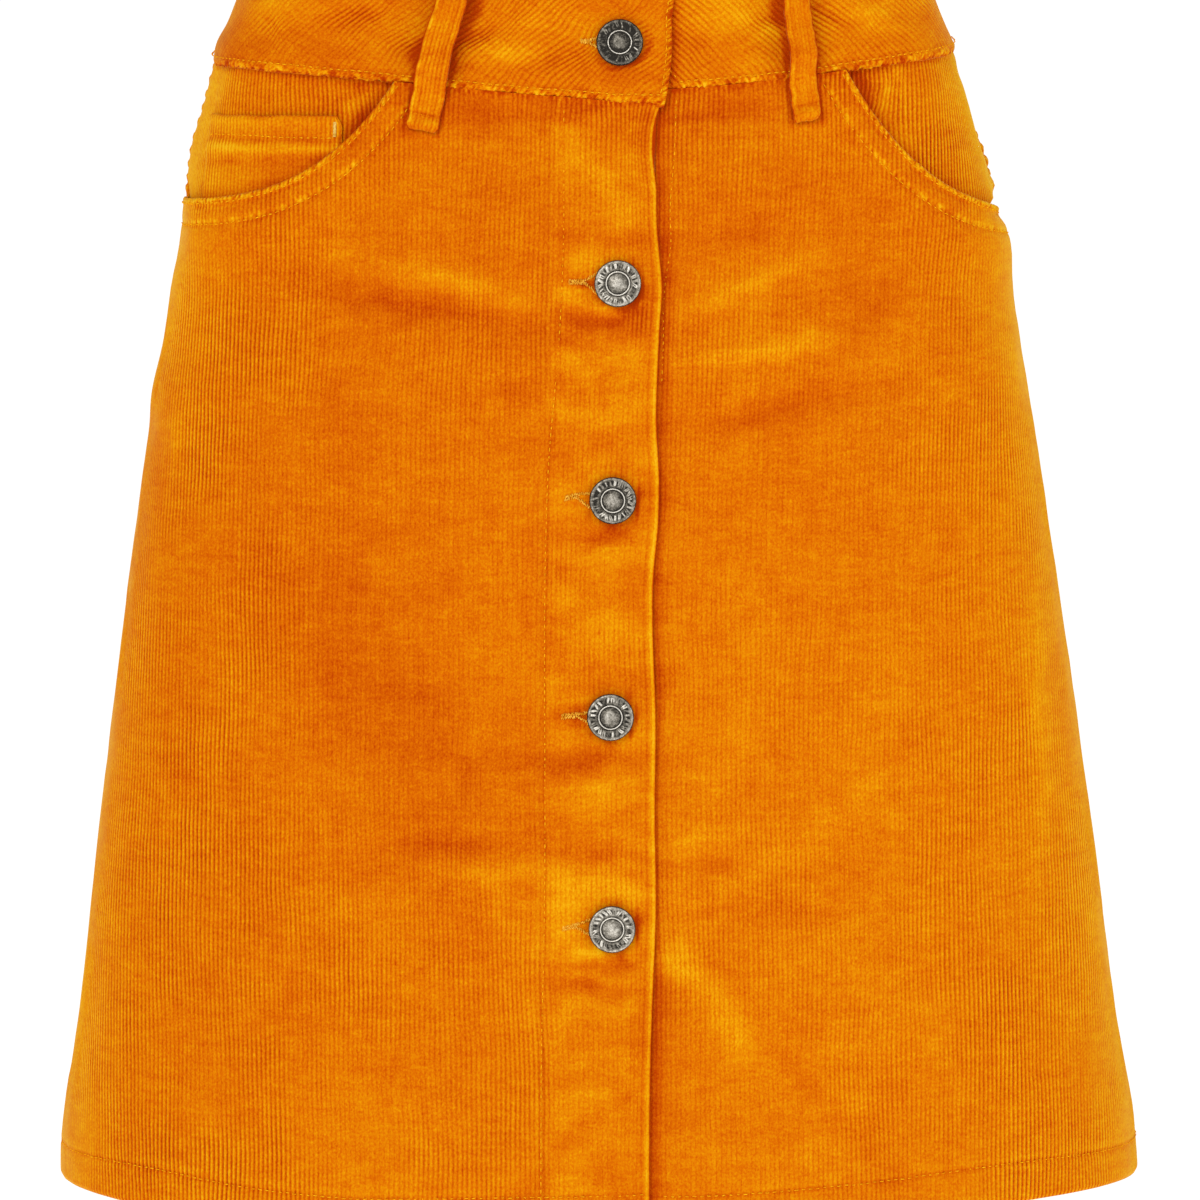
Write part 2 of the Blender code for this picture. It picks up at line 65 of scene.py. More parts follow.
# heights of the waist seam and the hem on each half, from the front (share 0) to the back (share 1)
edges = table(
    "share waistRight waistLeft hemRight hemLeft",
    (0, -21.2, -17.3, -437.5, -437),
    (0.1, -18.2, -15.2, -440, -435.6),
    (0.2, -14.9, -11.2, -437.8, -432.6),
    (0.3, -11.6, -6.6, -434.4, -429.4),
    (0.4, -9.2, -3.2, -431.4, -428.6),
    (0.5, -8, -1.6, -431, -430.4),
    (0.75, -0.5, 2.6, -436, -435.5),
    (1, 6, 6, -440, -440),
)

# broad soft folds of the form
folds = table(
    "arc height length width depth turn",
    (66, -46, 60, 20, 1.3, 8),
    (-48, -64, 52, 20, 0.9, -14),
    (52, -118, 46, 22, 1.2, 24),
    (110, -205, 90, 32, -1.6, 72),
    (-120, -265, 90, 34, -1.6, -76),
    (190, -335, 90, 30, 1.5, 85),
    (-200, -350, 80, 28, 1.5, -85),
    (70, -352, 52, 24, 1.2, 18),
    (330, -110, 60, 22, 1.6, 6),
    (-320, -130, 55, 22, 1.5, -8),
    (395, -300, 90, 34, 2.2, 84),
    (-390, -310, 90, 34, 2.2, -86),
)

form = {"rows": 480, "steps": 1440, "outlineSteps": 5760, "normalReach": 3}


def smooth(at, knots, values):
    # cubic pieces through the knots with the table's own slopes
    order = np.argsort(knots)
    knots = knots[order]
    values = values[order]
    slopes = np.gradient(values, knots)
    piece = np.clip(np.searchsorted(knots, at) - 1, 0, len(knots) - 2)
    span = knots[piece + 1] - knots[piece]
    t = np.clip((at - knots[piece]) / span, 0, 1)
    value = (1 + 2 * t) * (1 - t) ** 2 * values[piece] + t * t * (3 - 2 * t) * values[piece + 1]
    slope = t * (1 - t) ** 2 * slopes[piece] + t * t * (t - 1) * slopes[piece + 1]
    return value + slope * span


def ease(value, start, end):
    # 0 before start, 1 after end and an even S between them
    t = np.clip((value - start) / (end - start), 0, 1)
    return t * t * (3 - 2 * t)


def fade(value, start, end):
    return 1 - ease(value, start, end)


def bell(distance, reach):
    # 1 in the middle, falling off evenly on both sides
    return np.exp(-((distance / reach) ** 2))


def unevenness(x, y, seed):
    # soft chance bumps from -1 to 1, one unit apart: a random table read with an even S between points
    chance = np.random.default_rng(seed).uniform(-1, 1, (64, 64))
    x, y = np.broadcast_arrays(x, y)
    i = np.floor(x).astype(int)
    j = np.floor(y).astype(int)
    a = ease(x - i, 0, 1)
    b = ease(y - j, 0, 1)
    low = chance[i % 64, j % 64] * (1 - a) + chance[(i + 1) % 64, j % 64] * a
    high = chance[i % 64, (j + 1) % 64] * (1 - a) + chance[(i + 1) % 64, (j + 1) % 64] * a
    return low * (1 - b) + high * b


def sectionAt(height, name):
    return smooth(height, sections["height"], sections[name])


def outlineAt(height):
    # a superellipse with a front and a back of their own, at even distances from the back round again
    turn = np.linspace(-np.pi, np.pi, form["outlineSteps"] + 1)
    across = np.sin(turn)
    forward = np.cos(turn)
    depth = np.where(forward > 0, sectionAt(height, "front"), sectionAt(height, "back"))
    power = np.where(forward > 0, sectionAt(height, "frontPower"), sectionAt(height, "backPower"))
    x = sectionAt(height, "halfWidth") * np.sign(across) * np.abs(across) ** (2 / power)
    x = x + sectionAt(height, "lean")
    y = -depth * np.sign(forward) * np.abs(forward) ** (2 / power)
    along = np.concatenate([[0], np.cumsum(np.hypot(np.diff(x), np.diff(y)))])
    even = np.linspace(0, along[-1], form["steps"] + 1)
    return np.stack([np.interp(even, along, x), np.interp(even, along, y)], axis=-1), along[-1]


formHeights = np.linspace(sections["height"].min(), sections["height"].max(), form["rows"] + 1)
formRows = [outlineAt(height) for height in formHeights]
formPoints = np.array([row[0] for row in formRows])
formGirths = np.array([row[1] for row in formRows])


def girth(height):
    return np.interp(height, formHeights, formGirths)


def onForm(arc, height):
    # points of the bare form, between the four nearest points of its table
    arc, height = np.broadcast_arrays(np.asarray(arc, float), np.asarray(height, float))
    roundIt = ((arc + sectionAt(height, "twist")) / girth(height) + 0.5) % 1 * form["steps"]
    up = (height - formHeights[0]) / (formHeights[1] - formHeights[0])
    i = np.clip(np.floor(up).astype(int), 0, form["rows"] - 1)
    j = np.clip(np.floor(roundIt).astype(int), 0, form["steps"] - 1)
    a = (up - i)[..., None]
    b = (roundIt - j)[..., None]
    low = formPoints[i, j] * (1 - b) + formPoints[i, j + 1] * b
    high = formPoints[i + 1, j] * (1 - b) + formPoints[i + 1, j + 1] * b
    return np.concatenate([low * (1 - a) + high * a, height[..., None]], axis=-1)


def outward(arc, height):
    # the form's outward direction, from points a few millimetres to each side
    reach = form["normalReach"]
    along = onForm(arc + reach, height) - onForm(arc - reach, height)
    up = onForm(arc, height + reach) - onForm(arc, height - reach)
    normal = np.cross(along, up)
    return normal / np.linalg.norm(normal, axis=-1, keepdims=True)


def swell(arc, height, bumps, what="depth"):
    # the sum of long soft bells, each with its own reach along and across, its turn and its bend
    half = girth(height) / 2
    total = np.zeros(np.shape(arc))
    for k in range(len(bumps["arc"])):
        turn = np.radians(bumps["turn"][k])
        beside = (arc - bumps["arc"][k] + half) % (2 * half) - half
        above = height - bumps["height"][k]
        along = beside * np.cos(turn) + above * np.sin(turn)
        across = above * np.cos(turn) - beside * np.sin(turn)
        if "bend" in bumps:
            across = across - bumps["bend"][k] * along**2 / bumps["length"][k]
        total += bumps[what][k] * bell(along, bumps["length"][k]) * bell(across, bumps["width"][k])
    return total


# how the sewn cloth settles at the sides, where the seams draw it in or let it out
settling = table(
    "arc height length width depth turn",
    (-190, -1, 30, 6, 1.3, 0),
    (-205, -38, 26, 11, 1.4, 0),
    (-192, -68, 26, 11, -2, 0),
    (-198, -80, 30, 9, -1.2, 0),
    (-205, -131, 30, 14, 1.5, 0),
    (188, -6, 30, 5, 1, 0),
    (188, -12, 30, 5, -0.9, 0),
    (205, -43, 22, 10, 1.8, 0),
    (190, -52, 30, 8, 1, 0),
    (186, -63.5, 30, 4.6, -4, 0),
    (186, -67, 30, 8, -1.7, 0),
    (190, -55.5, 30, 4, 2, 0),
)


def place(arc, height, offset):
    # points that stand offset millimetres out from the folded form, in metres
    arc, height, offset = np.broadcast_arrays(arc, height, offset)
    out = offset + swell(arc, height, folds) + swell(arc, height, settling)
    return (onForm(arc, height) + outward(arc, height) * out[..., None]) * mm


# The cut, as the solids have it. "Away" is the distance from the centre front to that half's side.

cut = {
    "seamGap": 0.3,
    "cloth": 1.6,
    "hemBand": 15,
    "hemCloth": 3,
    "bandHeight": 42,
    "bandCloth": 3,
    "bandProud": 1,
    "lap": 16,
    "placket": 22.6,
    "placketCloth": 2.4,
    "placketRise": 1.3,
    "underlapCloth": 2.2,
    "lapRamp": 12,
    "riseRamp": 5,
    "hemGirthAt": -435,
    "waistGirthAt": -15,
    "backHemSewing": 17,
    "hiddenTo": 11,
}
pocket = {
    "start": 83.5,
    "curve": 4.1,
    "dropRight": 44.5,
    "dropLeft": 52.3,
    "welt": 10,
    "rise": 1.9,
    "riseEnds": 36,
    "sideRise": 0.5,
    "sideRamp": (165, 187),
    "facingCloth": 1.3,
    "facingDepth": 2.1,
    "facingStart": 70,
    "facingBelow": 44,
    "coinTop": -27,
    "coinFront": 103,
    "coinBack": 165,
    "coinBelow": 12,
    "coinCloth": 1.1,
    "coinTall": 40,
    # how far in front of its seam each facing's painted sheen is palest, and how pale
    "turnRight": {"at": 2, "pale": 1.7},
    "turnLeft": {"at": 24, "pale": 1.9},
}
sideSign = {"Right": -1, "Left": 1}
panelLength = cut["waistGirthAt"] - cut["hemGirthAt"]
underlapDepth = cut["placketCloth"] - cut["placketRise"] + cut["seamGap"]
bandDepth = cut["bandCloth"] - cut["placketRise"] + cut["seamGap"]


def edgeHeight(away, edge, girthAt):
    return smooth(np.clip(away, 0, None) / (girth(girthAt) / 2), edges["share"], edges[edge])


def waistSeam(away, half):
    return edgeHeight(away, "waist" + half, cut["waistGirthAt"])


def hem(away, half):
    return edgeHeight(away, "hem" + half, cut["hemGirthAt"])


def scoop(away, half):
    # steep where it leaves the waist seam, level where it meets the side seam
    drop = pocket["drop" + half]
    start = waistSeam(pocket["start"], half)
    run = girth(start - drop) / 4 - pocket["start"]
    t = np.clip((away - pocket["start"]) / run, 0, 1)
    return start - drop * (1 - (1 - t) ** pocket["curve"])


def frontTop(away, half):
    top = np.where(away < pocket["start"], waistSeam(away, half), scoop(away, half))
    return top - cut["seamGap"]


def lapRise(away):
    return cut["placketRise"] * fade(away, cut["placket"], cut["placket"] + cut["riseRamp"])


def lapDip(away, depth):
    return -depth * fade(away, cut["lap"], cut["lap"] + cut["lapRamp"])


def pocketRise(away, height, half):
    fading = fade(scoop(away, half) - height, pocket["welt"], pocket["riseEnds"])
    toSide = ease(away, *pocket["sideRamp"])
    most = pocket["rise"] + (pocket["sideRise"] - pocket["rise"]) * toSide
    near = ease(away, pocket["start"] - pocket["welt"], pocket["start"] + pocket["welt"])
    return most * fading * near


def distanceTo(away, height, lineAway, lineHeight):
    # how far each place lies from a drawn line, and how far along the line its nearest point is
    nearest = np.full(np.shape(away), 1e6)
    reached = np.zeros(np.shape(away))
    passed = 0
    for k in range(len(lineAway) - 1):
        runAway = lineAway[k + 1] - lineAway[k]
        runHeight = lineHeight[k + 1] - lineHeight[k]
        length = np.hypot(runAway, runHeight)
        t = (away - lineAway[k]) * runAway + (height - lineHeight[k]) * runHeight
        t = np.clip(t / length**2, 0, 1)
        gap = np.hypot(away - lineAway[k] - t * runAway, height - lineHeight[k] - t * runHeight)
        reached = np.where(gap < nearest, passed + t * length, reached)
        nearest = np.minimum(nearest, gap)
        passed += length
    return nearest, reached


def scoopLine(half, offset=0, steps=40):
    # the pocket edge, or a line that runs beside it on the front, offset millimetres away
    bunched = np.linspace(0, 1, steps) ** 1.6
    away = pocket["start"] + bunched * (girth(-60) / 4 - pocket["start"])
    height = scoop(away, half)
    runAway = np.gradient(away)
    runHeight = np.gradient(height)
    length = np.hypot(runAway, runHeight)
    return away + runHeight / length * offset, height - runAway / length * offset


# Corduroy: the ribs are in the mesh, four lines to a rib

cloth = {
    "pitch": 1.8,
    "shares": np.array([0, 0.2, 0.5, 0.8]),
    "bandShares": np.array([0, 0.13, 0.26, 0.38, 0.5, 0.62, 0.74, 0.87]),
    "relief": np.array([-0.26, -0.04, 0.04, -0.04]),
    "thinRib": 0.32,
    "coarseAcross": 7,
    "coarseUp": 18,
    "sharpAngle": 75,
}


def ribs(rib, height, seed):
    # the rounded ribs with a narrow groove between them, some a little fuller than others
    fuller = 1 + cloth["thinRib"] * unevenness(np.floor(rib) * 1.37, height / 11, seed)
    profile = np.interp(rib % 1, [*cloth["shares"], 1], [*cloth["relief"], cloth["relief"][0]])
    return profile * fuller


def crush(arc, height, seed):
    # how much the pile hides the ribs, in wide uneven patches: 1 shows them fully, 0.1 hardly
    patches = unevenness(arc / 31, height / 38, seed) + 0.6 * unevenness(arc / 9, height / 12, seed + 1)
    return np.clip(0.62 + 0.66 * patches, 0.1, 1.25)


def wander(arc, height, seed):
    # how far the ribs stray sideways
    broad = unevenness(arc / 24, height / 34, seed)
    return 0.8 * broad + 0.22 * unevenness(arc / 6, height / 10, seed + 1)


def smudges(arc, height, seed):
    # brushed and crushed nap: patches wider than they are tall, bent by broader ones
    bentHeight = height + 5 * unevenness(arc / 21, height / 30, seed)
    bentArc = arc + 6 * unevenness(arc / 30, height / 16, seed + 1)
    wide = unevenness(bentArc / 21, bentHeight / 6.5, seed + 2)
    small = unevenness(bentArc / 8, bentHeight / 4.2, seed + 3)
    return wide + 0.6 * small


def weave(rib, arc, height, seed, shown, least=0):
    # the ribs' relief, and how much of them shows through the crushed pile
    plush = np.maximum(crush(arc, height, seed + 60), least) * shown
    return ribs(rib, height, seed) * plush, plush


def ribLines(start, end, pitch, close=(0, 0.15, 0.35, 0.7, 1.2), plainTo=None, shares=cloth["shares"]):
    # a piece's lines from start to end: the same few in each rib, and close ones by its first edge
    first = np.floor(start / pitch) - 1
    last = np.ceil(end / pitch) + 1
    lines = ((np.arange(first, last)[:, None] + shares) * pitch).ravel()
    if plainTo is not None:
        lines = np.concatenate([np.arange(start, plainTo, 5), lines[lines > plainTo]])
    lines = np.concatenate([lines[(lines > start + 0.06) & (lines < end - 0.06)], [end]])
    lines = np.concatenate([start + np.array(close), lines])
    return np.unique(np.round(lines, 4))


def rowLevels(length, plain, *focuses):
    # shares of the way up a piece, with closer rows round each (middle, reach, step)
    at = np.linspace(0, length, 4001)
    density = np.full(at.size, 1 / plain)
    for middle, reach, step in focuses:
        density = np.maximum(density, np.exp(-(((at - middle) / reach) ** 4)) / step)
    total = np.concatenate([[0], np.cumsum((density[1:] + density[:-1]) / 2 * (at[1] - at[0]))])
    even = np.linspace(0, total[-1], int(round(total[-1])) + 1)
    return np.interp(even, total, at) / length


def between(low, high, levels):
    return low + levels * (high - low)


def panelGrid(lines, levels, bottom, top, limit, fromBack=False):
    # (away, height) of a piece whose lines keep their distance from the centre and stop at a limit
    away = np.broadcast_to(lines, (len(levels), len(lines)))
    height = between(bottom(away), top(away), levels[:, None])
    for _ in range(8):
        kept = np.minimum(lines, limit(height))
        away = girth(height) / 2 - kept if fromBack else kept
        height = between(bottom(away), top(away), levels[:, None])
    return away, height


def pickStops(places, spacing, extra=()):
    # numbers of the lines that the plain inner face keeps
    wanted = np.arange(places[0], places[-1], spacing)
    picks = [int(np.argmin(np.abs(places - want))) for want in [*wanted, *extra]]
    return np.unique([0, *picks, len(places) - 1])


def rim(fine, stops, coarse):
    # joins an outer edge to the inner face's fewer points, in fans
    segment = np.searchsorted(stops, np.arange(len(fine) - 1), side="right") - 1
    fans = np.stack([coarse[segment], fine[1:], fine[:-1]], axis=-1)
    caps = np.stack([coarse[:-1], coarse[1:], fine[stops[1:]]], axis=-1)
    return np.concatenate([fans, caps])


def twoTriangles(number):
    corners = [number[:-1, :-1], number[:-1, 1:], number[1:, 1:], number[1:, :-1]]
    a, b, c, d = [corner.ravel() for corner in corners]
    return np.concatenate([np.stack([a, b, c], axis=-1), np.stack([a, c, d], axis=-1)])


def standsAlone(same):
    # a point that repeats the one before it in its row gives way to it
    number = np.arange(same.shape[1])
    return np.maximum.accumulate(np.where(same, 0, number), axis=1)


def makeMesh(name, points, triangles, materials, second=None, uv=None, looks=None):
    # second marks the triangles of the second material; looks are values kept at the points
    used, triangles = np.unique(triangles, return_inverse=True)
    triangles = triangles.reshape(-1, 3)
    mesh = bpy.data.meshes.new(name)
    mesh.vertices.add(len(used))
    mesh.vertices.foreach_set("co", points[used].ravel())
    mesh.loops.add(triangles.size)
    mesh.loops.foreach_set("vertex_index", triangles.ravel())
    mesh.polygons.add(len(triangles))
    mesh.polygons.foreach_set("loop_start", np.arange(0, triangles.size, 3))
    if second is not None:
        mesh.polygons.foreach_set("material_index", second.astype(np.int32))
    mesh.update(calc_edges=True)
    mesh.shade_smooth()
    mesh.set_sharp_from_angle(angle=np.radians(cloth["sharpAngle"]))
    if uv is not None:
        layer = mesh.uv_layers.new(name="weave")
        layer.data.foreach_set("uv", uv[used][triangles.ravel()].ravel())
    for look, values in (looks or {}).items():
        layer = mesh.attributes.new(look, "FLOAT", "POINT")
        layer.data.foreach_set("value", values[used])
    for material in materials:
        mesh.materials.append(material)
    made = bpy.data.objects.new(name, mesh)
    bpy.context.collection.objects.link(made)
    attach(made, "root")
    print(f"{name}: {len(triangles)} triangles")
    return made


def clothPiece(piece, stops, **grid):
    # a thin closed shell: a finely ribbed outer face, a plain inner one with fewer points, and rims
    name, node, hangsFrom = piece
    shape = grid["arc"].shape
    grid = {key: np.array(np.broadcast_to(values, shape), float) for key, values in grid.items()}
    rowStops, lineStops = stops
    if grid["arc"][0, 0] > grid["arc"][0, -1]:
        grid = {key: values[:, ::-1] for key, values in grid.items()}
        lineStops = shape[1] - 1 - lineStops[::-1]
    arc, height, base = grid["arc"], grid["height"], grid["base"]
    same = np.zeros(shape, bool)
    same[:, 1:] = np.hypot(np.diff(arc, axis=1), np.diff(height, axis=1)) < 1e-6
    outer = np.arange(arc.size).reshape(shape)[:, :1] + standsAlone(same)
    pick = np.ix_(rowStops, lineStops)
    same = np.zeros(arc[pick].shape, bool)
    same[:, 1:] = np.diff(outer[pick], axis=1) == 0
    inner = arc.size + np.arange(same.size).reshape(same.shape)[:, :1] + standsAlone(same)
    rows, lines = shape
    rims = [
        rim(outer[0], lineStops, inner[0]),
        rim(outer[:, -1], rowStops, inner[:, -1]),
        rim(outer[-1, ::-1], lines - 1 - lineStops[::-1], inner[-1, ::-1]),
        rim(outer[::-1, 0], rows - 1 - rowStops[::-1], inner[::-1, 0]),
    ]
    outside = np.concatenate([twoTriangles(outer), *rims])
    triangles = np.concatenate([outside, twoTriangles(inner)[:, ::-1]])
    second = np.arange(len(triangles)) >= len(outside)
    whole = (triangles[:, 0] != triangles[:, 1]) & (triangles[:, 1] != triangles[:, 2])
    whole &= triangles[:, 0] != triangles[:, 2]
    facesOut = place(arc, height, base + grid["relief"]).reshape(-1, 3)
    facesIn = place(arc[pick], height[pick], (base - grid["thickness"])[pick]).reshape(-1, 3)
    uv = np.stack([grid["rib"], grid["along"]], axis=-1)
    made = makeMesh(
        "corduroy_" + name,
        np.concatenate([facesOut, facesIn]),
        triangles[whole],
        (corduroy, corduroyBack),
        second=second[whole],
        uv=np.concatenate([uv.reshape(-1, 2), uv[pick].reshape(-1, 2)]),
        looks={look: np.append(grid[look], grid[look][pick]) for look in ("nap", "plush")},
    )
    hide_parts(node)


# Materials


def addNode(tree, kind, links=(), **settings):
    # one node with its settings, and a value or another node's output for each named socket
    made = tree.nodes.new(kind)
    for name, value in settings.items():
        setattr(made, name, value)
    for socket, value in dict(links).items():
        if isinstance(value, bpy.types.NodeSocket):
            tree.links.new(value, made.inputs[socket])
        else:
            made.inputs[socket].default_value = value
    return made


def calculate(tree, operation, *values):
    return addNode(tree, "ShaderNodeMath", enumerate(values), operation=operation).outputs[0]


def weighted(tree, start, *pairs):
    # start plus each value times its weight
    total = start
    for value, weight in pairs:
        total = calculate(tree, "MULTIPLY_ADD", value, weight, total)
    return total


def pointValue(tree, name):
    return addNode(tree, "ShaderNodeAttribute", attribute_name=name).outputs["Fac"]


def objectPlace(tree):
    return tree.nodes.new("ShaderNodeTexCoord").outputs["Object"]


def colourRamp(tree, tone, *stops):
    ramp = tree.nodes.new("ShaderNodeValToRGB")
    tree.links.new(tone, ramp.inputs["Fac"])
    while len(ramp.color_ramp.elements) < len(stops):
        ramp.color_ramp.elements.new(0.5)
    for element, (position, colour) in zip(ramp.color_ramp.elements, stops):
        element.position = position
        element.color = (*colour, 1)
    return ramp.outputs["Color"]


def noise(tree, where, scale, detail=2, roughness=0.5):
    links = {"Vector": where, "Scale": scale, "Detail": detail, "Roughness": roughness}
    return addNode(tree, "ShaderNodeTexNoise", links).outputs[0]


def stretched(tree, x, xScale, y, yScale):
    # a place on the weave, drawn out along it or across it
    links = {"X": calculate(tree, "MULTIPLY", x, xScale), "Y": calculate(tree, "MULTIPLY", y, yScale)}
    return addNode(tree, "ShaderNodeCombineXYZ", links).outputs[0]


def newMaterial(name, **sockets):
    material = bpy.data.materials.new(name)
    material.use_nodes = True
    shader = material.node_tree.nodes["Principled BSDF"]
    for socket, value in sockets.items():
        shader.inputs[socket.replace("_", " ")].default_value = value
    return material, material.node_tree, shader


def addBump(tree, shader, height, strength, distance):
    links = {"Height": height, "Strength": strength, "Distance": distance}
    tree.links.new(addNode(tree, "ShaderNodeBump", links).outputs[0], shader.inputs["Normal"])


# how much each thing shifts the cloth's tone, from deep orange red at 0 to gold at 1
napTone = {
    "middle": 0.51,
    "rib": 0.46,
    "groove": -0.13,
    # the weight of the tone kept at the points, which holds painted shade and highlight as well as the
    # nap's own patches
    "fold": 0.28,
    "streak": 0.26,
    "fuzz": 0.68,
    "flecks": 0.4,
    "crumbs": 0.7,
    "patch": 0.22,
    "spread": 0.8,
}


def corduroyMaterial():
    # brighter rib tops, redder grooves, long streaks along single ribs, fine fuzz and broad nap patches,
    # and the tone kept at the points: the nap's own patches with painted shade and highlight
    material, tree, shader = newMaterial(
        "corduroy",
        Roughness=0.88,
        Sheen_Weight=0.75,
        Sheen_Roughness=0.3,
        Sheen_Tint=(1, 0.65, 0.14, 1),
        Specular_IOR_Level=0.02,
    )
    weave = addNode(tree, "ShaderNodeUVMap", uv_map="weave").outputs[0]
    apart = addNode(tree, "ShaderNodeSeparateXYZ", {"Vector": weave})
    rib, along = apart.outputs["X"], apart.outputs["Y"]
    spot = objectPlace(tree)
    fromGroove = calculate(tree, "PINGPONG", rib, 0.5)
    top = calculate(tree, "SUBTRACT", fromGroove, 0.25)
    shownRib = calculate(tree, "MULTIPLY", top, pointValue(tree, "plush"))
    ribNumber = calculate(tree, "FLOOR", rib)
    # each groove is a thin line that comes and goes, in dots
    grooveNumber = calculate(tree, "ROUND", rib)
    inGroove = calculate(tree, "MAXIMUM", calculate(tree, "MULTIPLY_ADD", fromGroove, -6, 1), 0)
    comes = noise(tree, stretched(tree, grooveNumber, 0.71, along, 0.12), 1, 2)
    dots = noise(tree, stretched(tree, grooveNumber, 1.3, along, 0.9), 1, 2)
    dotted = calculate(tree, "MAXIMUM", weighted(tree, -2.1, (comes, 3.4), (dots, 2.2)), 0)
    groove = calculate(tree, "MULTIPLY", inGroove, dotted)
    streak = noise(tree, stretched(tree, ribNumber, 0.73, along, 0.09), 1, 2)
    fuzz = noise(tree, stretched(tree, rib, 2.6, along, 1.5), 1, 3, 0.6)
    flecks = noise(tree, stretched(tree, rib, 0.16, along, 0.5), 1, 2, 0.6)
    crumbs = noise(tree, spot, 1150, 2, 0.6)
    patch = noise(tree, spot, 38, 3)
    chance = sum(napTone[name] for name in ("streak", "fuzz", "flecks", "crumbs", "patch"))
    tone = weighted(
        tree,
        napTone["middle"] - chance / 2,
        (shownRib, napTone["rib"] * 2),
        (groove, napTone["groove"]),
        (pointValue(tree, "nap"), napTone["fold"]),
        (streak, napTone["streak"]),
        (fuzz, napTone["fuzz"]),
        (flecks, napTone["flecks"]),
        (crumbs, napTone["crumbs"]),
        (patch, napTone["patch"]),
    )
    colour = colourRamp(
        tree,
        calculate(tree, "MULTIPLY", tone, napTone["spread"]),
        (0, (0.46, 0.04, 0)),
        (0.2, (0.58, 0.084, 0)),
        (0.4, (0.69, 0.147, 0.0002)),
        (0.6, (0.765, 0.24, 0.0006)),
        (0.8, (0.84, 0.37, 0.002)),
        (1, (0.88, 0.46, 0.01)),
    )
    tree.links.new(colour, shader.inputs["Base Color"])
    addBump(tree, shader, fuzz, 0.25, 0.0004)
    return material


def corduroyBackMaterial():
    # the plain weave of the cloth's inner face
    material, tree, shader = newMaterial("corduroyBack", Roughness=0.9, Specular_IOR_Level=0.05)
    weave = addNode(tree, "ShaderNodeUVMap", uv_map="weave").outputs[0]
    threads = noise(tree, weave, 3.2, 3, 0.6)
    tone = weighted(tree, -0.25, (threads, 0.8), (noise(tree, objectPlace(tree), 30), 0.6))
    colour = colourRamp(tree, tone, (0.1, (0.46, 0.085, 0.003)), (0.9, (0.72, 0.2, 0.012)))
    tree.links.new(colour, shader.inputs["Base Color"])
    addBump(tree, shader, threads, 0.3, 0.0003)
    return material


def threadMaterial(name, dark, pale):
    material, tree, shader = newMaterial(name, Roughness=0.8, Specular_IOR_Level=0)
    twist = noise(tree, objectPlace(tree), 900, 2)
    tree.links.new(colourRamp(tree, twist, (0.35, dark), (0.65, pale)), shader.inputs["Base Color"])
    return material


def buttonMaterial():
    # dark mottled patina, rubbed bright on what stands proud, and painted shade on the head's side wall
    material, tree, shader = newMaterial("agedMetal", Metallic=1)
    spot = objectPlace(tree)
    rubbed = pointValue(tree, "rubbed")
    blotch = noise(tree, spot, 650, 4, 0.7)
    speck = noise(tree, spot, 2200, 3, 0.7)
    tone = weighted(tree, -0.77, (blotch, 1.5), (speck, 1), (rubbed, 0.36))
    colour = colourRamp(
        tree,
        tone,
        (0.08, (0.035, 0.031, 0.026)),
        (0.42, (0.2, 0.18, 0.145)),
        (0.75, (0.5, 0.46, 0.39)),
        (1, (0.85, 0.8, 0.7)),
    )
    tree.links.new(colour, shader.inputs["Base Color"])
    tree.links.new(weighted(tree, 0.6, (blotch, -0.25), (rubbed, -0.08)), shader.inputs["Roughness"])
    addBump(tree, shader, blotch, 0.6, 0.0003)
    return material


corduroy = corduroyMaterial()
corduroyBack = corduroyBackMaterial()
goldThread = threadMaterial("goldThread", (0.76, 0.25, 0.002), (1, 0.5, 0.008))
paleThread = threadMaterial("paleThread", (0.68, 0.25, 0.006), (1, 0.56, 0.06))
creamThread = threadMaterial("creamThread", (0.75, 0.42, 0.06), (0.97, 0.7, 0.2))
agedMetal = buttonMaterial()
print("materials made")
